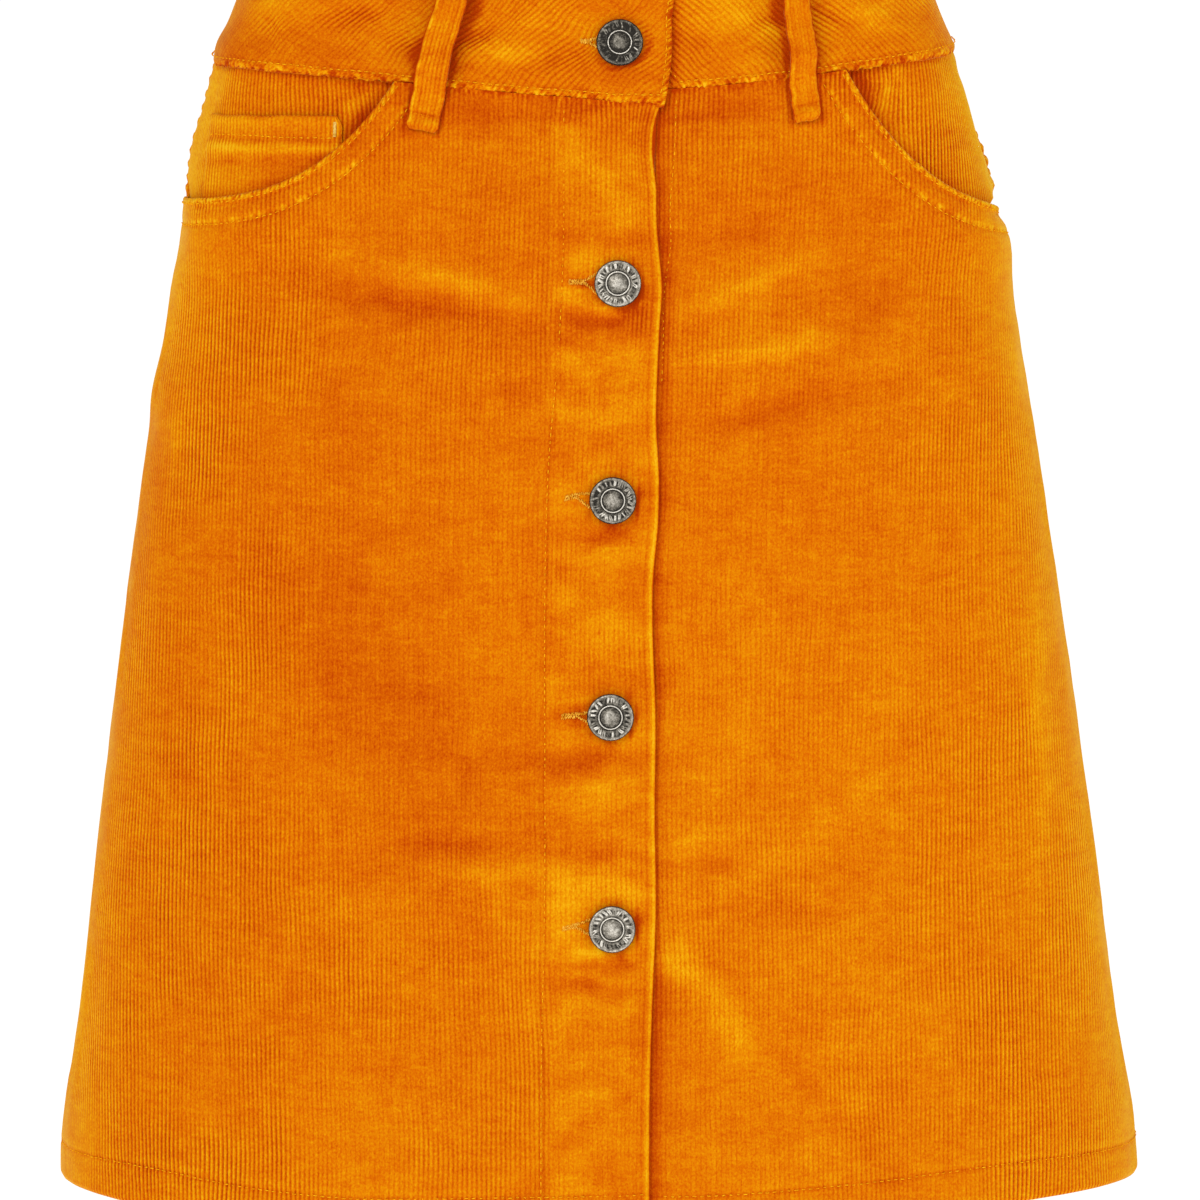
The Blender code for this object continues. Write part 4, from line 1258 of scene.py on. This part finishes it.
def waistband(half):
    # its ribs run across the bias, so its lines lean by the height that they have climbed
    sign = sideSign[half]
    edge = startEdge(half)
    tall = cut["bandHeight"]
    slanted = cloth["pitch"] * np.sqrt(2)
    lines = ribLines(edge, girth(5) / 2 + tall + 4, slanted, shares=cloth["bandShares"])
    levels = rowLevels(tall, 1.5, (0, 5, 0.55), (tall, 3, 0.7))
    climbed = levels[:, None] * tall
    away = np.broadcast_to(lines - climbed, (len(levels), len(lines)))
    for _ in range(8):
        height = waistSeam(away, half) + climbed
        away = np.clip(lines - climbed, edge, girth(height) / 2)
    arc = sign * away
    fromEdge = away - edge
    fromBack = girth(height) / 2 - away
    fromLow = np.broadcast_to(climbed, away.shape)
    fromHigh = tall - fromLow
    ends = (fromLow, fromHigh, fromEdge, fromBack)
    settled = np.prod([ease(gap, 0, 9) for gap in ends], axis=0)
    stray = 2.2 * unevenness(arc / 17, height / 12, 34) + 0.7 * unevenness(arc / 6, height / 6, 35)
    for bendArc, bendHeight, length, width, slide, _ in zip(*bandBends.values()):
        slid = ease(height - bendHeight, -width, width) - 0.5
        stray += -sign * slide * slid * bell(arc - bendArc, length)
    crowded = swell(arc, height, bandBends, "slide")
    underlap = fade(away - 18, 6, 26) * (half == "Left")
    least = np.clip(crowded / 2.6 + underlap, 0, 1)
    rib = (away + climbed) / slanted
    relief, plush = weave(rib, arc, height, 7, 0.6 + 0.2 * crowded + 0.25 * underlap, least)
    for gap in ends:
        relief *= ease(gap, 0.1, 1.2)
    marked = pressedAndShaded(bandMarks, low=fromLow, high=fromHigh, edge=fromEdge, back=fromBack)
    depth, tone = creased(arc, height, bandCreases, 36)
    relief += marked[0] + depth + 0.3 * unevenness(arc / 14, height / 12, 20)
    tone += marked[1] + 0.34 * smudges(arc, height, 37) + (0.22 if half == "Right" else 0.5)
    quiet = 1 - 0.7 * ease(away, 150, 178) * fade(away, 200, 230)
    roped = [(fromLow, away), (fromHigh, away), (fromEdge, height)]
    for gap, way in roped if half == "Right" else roped[:2]:
        ridge, ridgeTone = rope(gap + 0.3, way, 0.13, 38)
        relief += ridge * quiet
        # the ropes' painted highlight and painted shade
        tone += (ridgeTone - 0.25 * bell(gap - 1, 1)) * quiet
    # specks along the band's lower edge, on a painted dark line of shade right at the edge
    tone += (-0.1 + 0.9 * unevenness(away / 1.3, 0, 47)) * bell(fromLow, 0.6)
    tone += (-0.9 + 2.6 * unevenness(away / 0.9, 0, 50)) * bell(fromLow, 0.3)
    # painted shadow beside the loops
    tone -= 1.9 * loopShadows(arc, height)
    scallop = 0.6 * np.cos(2 * np.pi * away / cloth["pitch"]) + 1.4 * unevenness(away / 1.1, 0, 45)
    low = height - (0.5 + 0.28 * scallop) * bell(fromLow, 1.4)
    lapped = arc
    if half == "Right":
        # painted shadow round the top button
        tone -= 1.8 * buttonShadows(arc, height)
        lapped = arc + (along(bandEdge, height) - cut["lap"]) * fade(away, -cut["lap"], -1)
        low -= 2 * bell(fromEdge, 3.5) * bell(fromLow, 8)
    else:
        # painted shadow of the lap on the band's underlap end
        tone -= fade(arc - 18, 0.6, 5) + 0.5 * fade(arc - 18, 0, 11)
    clothPiece(
        ("waistband_" + half.lower(), "waistband_" + half.lower(), []),
        (pickStops(levels * tall, 6), pickStops(lines, cloth["coarseAcross"])),
        arc=lapped + stray * settled,
        height=low,
        base=bandBase(away, half), relief=relief, thickness=cut["bandCloth"],
        rib=rib, along=(fromLow * 2 - away) / slanted, nap=tone, plush=plush,
    )


def pocketFacing(half):
    lines = ribLines(pocket["facingStart"], quarter(-60), cloth["pitch"], plainTo=pocket["start"] - 5)
    tall = pocket["drop" + half] + pocket["facingBelow"]
    levels = rowLevels(tall, 4, (tall, 22, 1.5))
    away, height = panelGrid(
        lines,
        levels,
        lambda at: scoop(at, half) - pocket["facingBelow"],
        lambda at: waistSeam(at, half) - cut["seamGap"],
        quarter,
    )
    arc = sideSign[half] * away
    fromScoop, _ = distanceTo(away, height, *scoopLine(half))
    fromWaist = waistSeam(away, half) - height
    fromSide = quarter(height) - away
    inOpening = height - scoop(away, half)
    turned = fade(fromSide, 2, 17)
    rib = away / cloth["pitch"]
    relief, plush = weave(rib, arc, height, 9, 1.45 - 0.8 * turned, 0.7)
    marked = pressedAndShaded(facingMarks, side=fromSide, waist=fromWaist)
    depth, tone = creased(arc, height, facingCreases, 48)
    hollow = bell(away - pocket["start"] - 8, 16) * bell(fromWaist - 12, 16)
    relief = relief * ease(fromWaist, 0.2, 1.2) + marked[0] + depth - 0.5 * hollow
    relief += 0.25 * unevenness(arc / 12, height / 12, 21)
    tone += marked[1] + 0.12 * unevenness(arc / 14, height / 30, 22) + 0.2 * smudges(arc, height, 39)
    # painted shade inside the pocket's opening by the scoop, and in the hollow
    tone += 0.1 - 0.7 * fade(fromScoop, 0.5, 6) - 0.3 * hollow
    # painted sheen, palest just in front of the seam where the facing turns away
    turn = pocket["turn" + half]
    tone += turn["pale"] * fade(np.abs(fromSide - turn["at"]), 3, 48)
    base = (pocket["facingDepth"] - 0.2) * turned * ease(inOpening, 0.5, 7) - pocket["facingDepth"]
    if half == "Left":
        # this one lets the back panel's edge stand out past it, and bulges beside the seam
        setBack = 1.8 * ease(height, -64, -52) * fade(height, -34, -26)
        bulge = (1.6 * bell(height + 62, 5) - 1.9 * bell(height + 53, 5)) * bell(fromSide - 26, 18)
        base += bulge * ease(inOpening, 0.5, 4) - setBack * turned * ease(inOpening, 0.5, 7)
    bent = 1.4 * wander(arc, height, 41)
    bent += 1.8 * unevenness(arc / 14, height / 7, 49) * bell(away - 98, 14)
    clothPiece(
        ("pocket_facing_" + half.lower(), "pocket_facing_" + half.lower(), ["waistband_" + half.lower()]),
        (pickStops(levels * tall, 3), pickStops(lines, cloth["coarseAcross"])),
        arc=arc + bent * ease(fromSide, 0, 12) * ease(fromWaist, 0, 10),
        height=height,
        base=base, relief=relief, thickness=pocket["facingCloth"],
        rib=rib, along=height / cloth["pitch"], nap=tone, plush=plush,
    )


def coinBase(away):
    return pocket["coinCloth"] + cut["seamGap"] - pocket["facingDepth"] + 0.5 * bell(away - 118, 26)


def coinPocket():
    lines = ribLines(pocket["coinFront"], pocket["coinBack"], cloth["pitch"])
    tall = pocket["coinTall"]
    levels = rowLevels(tall, 2.4, (tall, 14, 0.8))
    away, height = panelGrid(
        lines,
        levels,
        lambda at: scoop(at, "Right") - pocket["coinBelow"],
        lambda at: np.full(np.shape(at), pocket["coinTop"]),
        lambda at: np.inf,
    )
    fromTop = pocket["coinTop"] - height
    fromFront = away - pocket["coinFront"]
    fromScoop, _ = distanceTo(away, height, *scoopLine("Right"))
    rib = away / cloth["pitch"] + 0.4
    ribbed = np.cos(2 * np.pi * rib)
    relief, plush = weave(rib, -away, height, 10, 1 - 0.3 * bell(fromTop - 4, 4))
    relief *= ease(fromTop, 0.1, 1) * ease(fromFront, 0.1, 1)
    marked = pressedAndShaded(coinMarks, top=fromTop, front=fromFront)
    relief += marked[0] + 0.12 * ribbed * bell(fromTop, 1)
    tone = marked[1] + 0.12 * unevenness(away / 14, height / 30, 23) + 0.2 * smudges(away, height, 42)
    # painted sheen towards the side, painted shade by the scoop, and a dotted painted shade along the top
    # edge
    tone += 0.25 + 0.9 * ease(away, 125, 165) - 0.7 * fade(fromScoop, 0.5, 6)
    tone -= (0.6 - 1.6 * ribbed) * bell(fromTop, 0.45)
    stray = 0.5 * unevenness(0, height / 4, 43) * ease(-fromFront, -4, 0)
    clothPiece(
        ("coin_pocket", "coin_pocket", ["pocket_facing_right"]),
        (pickStops(levels * tall, 9), pickStops(lines, cloth["coarseAcross"])),
        arc=-away - stray - 1.8 * bell(fromTop, 2) * bell(fromFront, 2),
        height=height + 0.4 * unevenness(away / 9, 0, 44) * ease(-fromTop, -4, 0),
        base=coinBase(away), relief=relief, thickness=pocket["coinCloth"],
        rib=rib, along=height / cloth["pitch"], nap=tone, plush=plush,
    )


def loopBase(level):
    onCloth = loop["clearance"] + cut["bandProud"] * ease(level, *loop["seamStep"])
    offCloth = loop["gap"] * ease(level, *loop["foot"]) * fade(level, *loop["head"])
    return onCloth + offCloth + loop["cloth"]


def beltLoop(name):
    which = loops[name]
    sign = sideSign[which["half"]]
    seed = 50 + 2 * list(loops).index(name)
    tall = loop["high"] - loop["low"]
    levels = rowLevels(tall, 1.3, (0, 3, 0.45), (8, 2.5, 0.6), (tall, 3, 0.6)) * tall
    half = loop["width"] / 2
    lines = ribLines(-half, half, loop["pitch"], close=(0, 0.12, 0.3, 0.6))
    lines = np.unique(np.concatenate([lines, -lines[:4]]))
    level = (loop["low"] + levels)[:, None]
    across = np.broadcast_to(lines, (len(levels), len(lines)))
    side = np.sign(across)
    fromSide = half - np.abs(across)
    fromLow = np.broadcast_to(levels[:, None], across.shape)
    fromSewing = np.broadcast_to(np.minimum(*[np.abs(level - at) for at in loop["sewnAt"]]), across.shape)
    # a little narrower where it stands free, with lumpy sides and round corners at the foot
    narrower = 1 - 0.07 * ease(level, 0, 12) - 0.3 * fade(fromLow, -1.2, 2)
    lumps = 0.3 * unevenness(side * 3, level / 3.2, seed) * np.abs(across) / half
    bowed = 0.22 * unevenness(0, level / 12, seed + 1)
    away, height = loopPlace(which, level, across * narrower + lumps + bowed)
    height = height + 0.45 * unevenness(across / 1.1, 0, seed) * bell(fromLow, 1.6)
    rib = across / loop["pitch"] + 0.25
    relief, plush = weave(rib, across, level, 30 + seed, 0.6, 0.3)
    relief *= ease(fromSide, 0.1, 1) * ease(fromLow, 0.1, 1)
    marked = pressedAndShaded(loopMarks, side=fromSide, low=fromLow, sewing=fromSewing)
    atFoot = bell(fromLow - 2.8, 2.4)
    relief += marked[0] + (0.7 + 0.4 * unevenness(across / 2, level / 2.2, seed)) * atFoot
    relief += 0.3 * unevenness(across / 5, level / 4.5, seed + 1)
    # its side towards the wearer's right catches the light
    lit = (1 - 0.6 * side * sign) * (0.35 + 0.7 * unevenness(side * 5, level / 2.4, seed + 4))
    tone = marked[1] + 0.4 + lit * bell(fromSide - 1, 0.55)
    # painted shade along the sewn rows
    tone += (-1.4 + 0.9 * unevenness(across / 0.9, 0, seed + 3)) * bell(fromSewing, 0.55)
    # painted highlight on the foot's fold
    tone += (0.5 + 0.4 * unevenness(across, level / 1.2, seed + 2)) * atFoot
    tone += 0.25 * smudges(across, level * 1.5, seed)
    clothPiece(
        ("loop_" + name, "belt_loop_" + name, ["waistband_" + which["half"].lower()]),
        (pickStops(levels, 2.5), pickStops(lines, 2.6)),
        arc=sign * away,
        height=height,
        base=loopBase(level), relief=relief, thickness=loop["cloth"],
        rib=rib, along=height / cloth["pitch"], nap=tone, plush=plush,
    )


for half in ("Right", "Left"):
    frontPanel(half)
    backPanel(half)
    waistband(half)
    pocketFacing(half)
coinPocket()
for name in loops:
    beltLoop(name)
print("cloth made")

# Sewing: every stitch is a short thread with its ends sunk into the cloth


def threads(fromArc, fromHeight, toArc, toHeight, lift, radius=None, arch=0.3):
    # spindles from one place to another: rings at shares of the way, arched, closed by their ends
    radius = radius or stitching["radius"]
    parts = [np.ravel(part) for part in np.broadcast_arrays(fromArc, fromHeight, toArc, toHeight, lift)]
    fromArc, fromHeight, toArc, toHeight, lift = [part.astype(float) for part in parts]
    start = place(fromArc, fromHeight, lift)
    end = place(toArc, toHeight, lift)
    out = outward((fromArc + toArc) / 2, (fromHeight + toHeight) / 2)
    run = end - start
    aside = np.cross(out, run)
    aside = aside / np.linalg.norm(aside, axis=-1, keepdims=True)
    girths = stitching["girths"] * radius * mm
    rises = stitching["rises"] * arch * mm
    middle = start[:, None] + run[:, None] * stitching["shares"][:, None] + out[:, None] * rises[:, None]
    angle = np.linspace(0, 2 * np.pi, stitching["sides"], endpoint=False)
    spoke = np.cos(angle)[:, None] * aside[:, None] + np.sin(angle)[:, None] * out[:, None]
    rings = middle[:, 1:4, None] + spoke[:, None] * girths[1:4, None, None]
    count, sides = len(start), stitching["sides"]
    points = np.concatenate([rings.reshape(count, -1, 3), middle[:, :1], middle[:, -1:]], axis=1)
    step = np.arange(sides)
    after = (step + 1) % sides
    faces = []
    for ring in (0, 1):
        a, b = ring * sides, (ring + 1) * sides
        faces.append(np.stack([a + step, b + step, b + after], axis=-1))
        faces.append(np.stack([a + step, b + after, a + after], axis=-1))
    faces.append(np.stack([np.full(sides, 3 * sides), step, after], axis=-1))
    faces.append(np.stack([np.full(sides, 3 * sides + 1), 2 * sides + after, 2 * sides + step], axis=-1))
    faces = np.concatenate(faces)
    triangles = faces[None] + np.arange(count)[:, None, None] * points.shape[1]
    return points.reshape(-1, 3), triangles.reshape(-1, 3)


def seamStitches(arc, height, lift, seed=1):
    # stitches one pitch apart along a drawn line, by its real length on the form
    arc, height, lift = [np.asarray(part, float) for part in np.broadcast_arrays(arc, height, lift)]
    steps = np.linalg.norm(np.diff(place(arc, height, lift), axis=0), axis=-1) / mm
    total = np.concatenate([[0], np.cumsum(steps)])
    count = int(total[-1] / stitching["pitch"])
    middle = (np.arange(count) + 0.5) * stitching["pitch"]
    rng = np.random.default_rng(seed)
    half = stitching["length"] / 2 * (1 + rng.uniform(-0.35, 0.15, count))
    wobble = rng.uniform(-0.2, 0.2, (2, count))
    ends = [middle - half, middle + half]
    arcs = [np.interp(end, total, arc) for end in ends]
    heights = [np.interp(end, total, height) + wobble[k] for k, end in enumerate(ends)]
    lifts = np.interp(middle, total, lift) - rng.uniform(0, 0.2, count)
    return threads(arcs[0], heights[0], arcs[1], heights[1], lifts)


def sew(name, material, *runs):
    # joins runs of stitches into one piece
    points, faces = zip(*runs)
    starts = np.cumsum([0, *map(len, points)])
    triangles = np.concatenate([corners + start for corners, start in zip(faces, starts)])
    makeMesh(name, np.concatenate(points), triangles, (material,))


def waistSewing(half):
    sign = sideSign[half]
    inEdge = stitching["inEdge"]
    start = -cut["lap"] + 1 if half == "Right" else cut["lap"] + 5
    away = np.linspace(start, girth(5) / 2 - 1, 300)
    low = waistSeam(away, half) + inEdge
    high = low + cut["bandHeight"] - 2 * inEdge
    lift = bandBase(away, half) + 0.3
    runs = [seamStitches(sign * away, low, lift, 2), seamStitches(sign * away, high, lift, 3)]
    if half == "Right":
        rise = np.linspace(low[0], high[0] - 1, 40)
        runs.append(seamStitches(along(bandEdge, rise) - inEdge, rise, bandBase(start, half) + 0.3, 4))
    else:
        # the band's sewing climbs to its underlap beside the lap's edge
        climb = np.linspace(0, 1, 20)
        rise = low[0] + 5 * (1 - climb)
        runs.append(seamStitches(17 + 5 * climb, rise, lift[0] - 0.6 + 0.6 * climb, 4))
    return runs


def pocketSewing(half):
    runs = []
    for offset, groove in stitching["pocketRows"]:
        away, height = scoopLine(half, offset, 120)
        inside = (height < waistSeam(away, half) - 1) & (away < quarter(height) - 1.5)
        away, height = away[inside], height[inside]
        lift = pocketRise(away, height, half) + groove
        runs.append(seamStitches(sideSign[half] * away, height, lift, 5))
    return runs


def hemStitching(half):
    sign = sideSign[half]
    line = hemSewing[half]
    start = -cut["lap"] + 4 if half == "Right" else cut["lap"] + 2
    side = quarter(stitching["hemGirthAt"])
    away = np.linspace(start, side - 1, 200)
    height = smooth(away, line["away"], line["height"])
    lift = lapRise(away) if half == "Right" else lapDip(away, 1.4)
    runs = [seamStitches(sign * away, height, lift - 0.15, 6)]
    away = np.linspace(side + 1, 2 * side - 1, 200)
    runs.append(seamStitches(sign * away, hem(away, half) + cut["backHemSewing"], -0.15, 7))
    return runs


def frontSewing():
    height = np.linspace(-24, -434, 400)
    placket = seamStitches(along(placketSewing, height), height, cut["placketRise"] - 0.33, 8)
    height = np.linspace(-20, -125, 100)
    arc = along(underlapSewing, height)
    lift = lapDip(arc, underlapDepth) - 0.4
    return [placket, seamStitches(arc, height, lift, 9)]


def loopSewing(name):
    # a row of close stitches across each sewn end
    which = loops[name]
    sign = sideSign[which["half"]]
    runs = []
    for at in loop["sewnAt"]:
        away, height = loopPlace(which, at, np.arange(-4.2, 4.3, 0.8))
        ends = (sign * away, height - 0.15, sign * (away + 0.5), height + 0.15)
        runs.append(threads(*ends, loopBase(at) - 0.55, radius=0.16, arch=0.2))
    return runs


def coinSewing():
    away = np.linspace(pocket["coinFront"] + 3.5, pocket["coinBack"], 60)
    base = coinBase(away)
    height = pocket["coinTop"] - 8 + 0.8 * bell(away - 150, 20)
    hemRow = seamStitches(-away, height, base - 0.15, 10)
    height = np.arange(pocket["coinTop"] - 7.4, pocket["coinTop"] - 2, 0.42)
    tack = threads(-106.3, height, -104.9, height + 0.2, base[0] + 0.15, 0.22, 0.3)
    return [hemRow], [tack]


# each buttonhole's own crooked line: its outer end, where it forks and its two ends by the button
buttonholes = table(
    "start startUp fork forkUp end upper lower",
    (-14.8, 0.7, -12, 0.5, -7.8, 1.8, -1.6),
    (-17.8, 0.6, -12.2, 0.8, -7.6, 3.4, -3),
    (-17, 0.8, -13.3, 1.9, -7.8, 2.2, -2.4),
    (-17.6, 0.3, -12, 0.8, -7.8, 1.2, -1.8),
    (-17.6, 0.2, -12.5, 1.2, -7.6, 3, -1.8),
)
buttonhole = {"reach": 0.62, "pitch": 0.4, "radius": 0.19, "stray": 0.28, "apart": 0.45, "arch": 0.4}


def buttonRise(number):
    # the first button is on the waistband, the others on the placket
    return cut["placketRise"] + (cut["bandProud"] if number == 0 else 0)


def buttonholeSewing(number, height):
    # two rows of short zigzag stitches, crowded together where they meet
    line = {name: values[number] for name, values in buttonholes.items()}
    rng = np.random.default_rng(70 + number)
    runs = []
    for way, last in ((buttonhole["apart"], line["upper"]), (-buttonhole["apart"], line["lower"])):
        arc = np.arange(line["start"], line["end"], buttonhole["pitch"])
        knots = (line["start"], line["fork"], line["end"])
        middle = height + np.interp(arc, knots, (line["startUp"], line["forkUp"], last)) + way
        stray = rng.uniform(-1, 1, (4, len(arc))) * buttonhole["stray"]
        lean = buttonhole["reach"] * (-1) ** np.arange(len(arc))
        start = (arc + stray[0], middle - lean + stray[1])
        end = (arc + buttonhole["pitch"] + stray[2], middle + lean + stray[3])
        runs.append(threads(*start, *end, buttonRise(number), buttonhole["radius"], buttonhole["arch"]))
    return runs


sew("stitches_waistband", goldThread, *waistSewing("Right"), *waistSewing("Left"))
sew("stitches_pockets", goldThread, *pocketSewing("Right"), *pocketSewing("Left"))
sew("stitches_hem", goldThread, *hemStitching("Right"), *hemStitching("Left"))
sew("stitches_front", goldThread, *frontSewing())
sew("stitches_belt_loops", goldThread, *[run for name in loops for run in loopSewing(name)])
coinRow, coinTack = coinSewing()
sew("stitches_coin_pocket", goldThread, *coinRow)
sew("tack_coin_pocket", creamThread, *coinTack)
holes = [buttonholeSewing(number, height) for number, height in enumerate(buttons["heights"])]
sew("stitches_buttonholes", paleThread, *sum(holes, []))
print("sewing done")

# Buttons: turned heads with a raised ring, a low dome and a rim of short struck marks, on a shank

# the third column: wear bright on the ring and dome, patina in the grooves, and painted shade on the
# head's outer side wall
buttonHead = table(
    "radius height rubbed mark",
    (0, -2.4, 0, 0),
    (3.2, -2.4, 0, 0),
    (3.2, 0.6, 0, 0),
    (7.5, 0.6, -1, 0),
    (8.3, 0.8, -1.4, 0),
    (8.6, 1.2, -2.4, 0),
    (8.6, 1.65, -2.2, 0),
    (8.45, 2, -0.8, 0),
    (8.1, 2.25, 0.5, 0),
    (7.75, 2.34, 0.3, 0),
    (7.35, 2.3, 0, 0.2),
    (7, 2.26, -0.4, 1),
    (6.6, 2.26, -0.4, 1),
    (6.2, 2.26, -0.4, 1),
    (5.8, 2.26, -0.4, 1),
    (5.45, 2.26, -0.2, 0.2),
    (5, 2.24, -0.4, 0),
    (4.72, 2.12, -1.6, 0),
    (4.55, 2.2, -0.6, 0),
    (4.42, 2.52, 1.9, 0),
    (4.27, 2.6, 2.4, 0),
    (4.12, 2.52, 1.8, 0),
    (3.98, 2.18, -0.8, 0),
    (3.8, 2.04, -1.5, 0),
    (3.45, 2.1, -0.4, 0),
    (2.8, 2.25, -0.1, 0),
    (1.9, 2.42, 0.5, 0),
    (1, 2.52, 0.65, 0),
    (0, 2.56, 0.65, 0),
)


def struckMarks(angle, radius, seed):
    # pairs of short strokes round the rim with a bar across, each pair with a slant of its own
    rng = np.random.default_rng(seed)
    count = buttons["marks"]
    strength = np.clip(rng.uniform(0.1, 1.3, count), 0, 1)
    width = rng.uniform(0.11, 0.17, count)
    slant = rng.uniform(-0.4, 0.4, count)
    apart = rng.uniform(0.06, 0.28, count)
    barAt = rng.uniform(5.6, 7.1, count)
    at = angle / (2 * np.pi) * count
    which = np.floor(at).astype(int) % count
    side = at % 1 - 0.5 + slant[which] * (radius - 6.4)
    strokes = bell(side - apart[which], width[which]) + bell(side + apart[which], width[which])
    bars = bell(radius - barAt[which], 0.3) * bell(side, 0.3)
    return strength[which] * np.maximum(strokes, bars)


def button(number, height):
    arc, shine, polish = [buttons[key][number] for key in ("arcs", "markShine", "polish")]
    centre = place(arc, height, buttonRise(number))
    axis = outward(arc, height)
    aside = np.cross(axis, (0, 0, 1))
    aside = aside / np.linalg.norm(aside)
    up = np.cross(aside, axis)
    steps = buttons["steps"]
    angle = np.linspace(0, 2 * np.pi, steps, endpoint=False)[:, None]
    spoke = np.cos(angle) * aside + np.sin(angle) * up
    radius, level, rubbed, mark = [values[1:-1][:, None] for values in buttonHead.values()]
    marks = mark * struckMarks(angle.T, radius, 81 + number)
    level = level + buttons["markHeight"] * marks
    rubbed = rubbed + shine * marks - 0.8 * mark + polish
    rings = centre + spoke[None] * (radius * mm)[..., None] + axis * (level * mm)[..., None]
    poles = centre + axis * (buttonHead["height"][[0, -1]] * mm)[:, None]
    points = np.concatenate([rings.reshape(-1, 3), poles])
    rubbed = np.concatenate([rubbed.ravel(), buttonHead["rubbed"][[0, -1]] + polish])
    numbers = np.arange(len(radius) * steps).reshape(len(radius), steps)
    numbers = np.concatenate([numbers, numbers[:, :1]], axis=1)
    first, last = len(points) - 2, len(points) - 1
    lowCap = np.stack([np.full(steps, first), numbers[0, 1:], numbers[0, :-1]], axis=-1)
    highCap = np.stack([np.full(steps, last), numbers[-1, :-1], numbers[-1, 1:]], axis=-1)
    triangles = np.concatenate([twoTriangles(numbers), lowCap, highCap])
    name = f"button_{number + 1}"
    made = makeMesh("jeans_" + name, points, triangles, (agedMetal,), looks={"rubbed": rubbed})
    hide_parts(name)


for number, height in enumerate(buttons["heights"]):
    button(number, height)
print("buttons made")

# Floor, light and camera

studio = {
    "floorDrop": 1.05,
    "floorReach": 400,
    "floorGlow": 0.62,
    "world": 0.54,
    # place, size and power of each light
    "key": ((-1.5, -3.2, 2.2), 2.6, 56),
    "fill": ((2.6, -1.6, 1), 2.2, 17),
}
camera = {"target": (2.66, 0, -212.3), "distance": 2600, "elevation": 6, "lens": 205.47, "sensor": 36}


def aim(thing, target):
    away = np.array(thing.location) - np.array(target)
    thing.rotation_euler = (
        np.arctan2(np.hypot(away[0], away[1]), away[2]),
        0,
        np.arctan2(away[0], -away[1]),
    )


def makeFloor():
    reach = studio["floorReach"]
    corners = [(-reach, -reach), (reach, -reach), (reach, reach), (-reach, reach)]
    mesh = bpy.data.meshes.new("floor")
    mesh.from_pydata([(x, y, -studio["floorDrop"]) for x, y in corners], [], [(0, 1, 2, 3)])
    material, _, _ = newMaterial(
        "whiteFloor",
        Base_Color=(0.8, 0.8, 0.8, 1),
        Roughness=1,
        Specular_IOR_Level=0,
        Emission_Color=(1, 1, 1, 1),
        Emission_Strength=studio["floorGlow"],
    )
    mesh.materials.append(material)
    floor = bpy.data.objects.new("floor", mesh)
    bpy.context.collection.objects.link(floor)


def makeLights():
    scene = bpy.context.scene
    world = bpy.data.worlds.new("softRoom")
    world.use_nodes = True
    background = world.node_tree.nodes["Background"]
    background.inputs["Color"].default_value = (1, 1, 1, 1)
    background.inputs["Strength"].default_value = studio["world"]
    scene.world = world
    for name in ("key", "fill"):
        spot, size, power = studio[name]
        lamp = bpy.data.lights.new(name, "AREA")
        lamp.size = size
        lamp.energy = power
        light = bpy.data.objects.new(name, lamp)
        light.location = spot
        aim(light, (0, 0, -0.2))
        scene.collection.objects.link(light)
    scene.view_settings.view_transform = "Standard"


def makeCamera():
    tilt = np.radians(camera["elevation"])
    target = np.array(camera["target"]) * mm
    toCamera = np.array([0, -np.cos(tilt), np.sin(tilt)]) * camera["distance"] * mm
    lens = bpy.data.cameras.new("camera")
    lens.lens = camera["lens"]
    lens.sensor_width = camera["sensor"]
    lens.clip_end = 2000
    made = bpy.data.objects.new("camera", lens)
    made.location = target + toCamera
    aim(made, target)
    bpy.context.scene.collection.objects.link(made)
    bpy.context.scene.camera = made


makeFloor()
makeLights()
makeCamera()
print("floor, light and camera set")
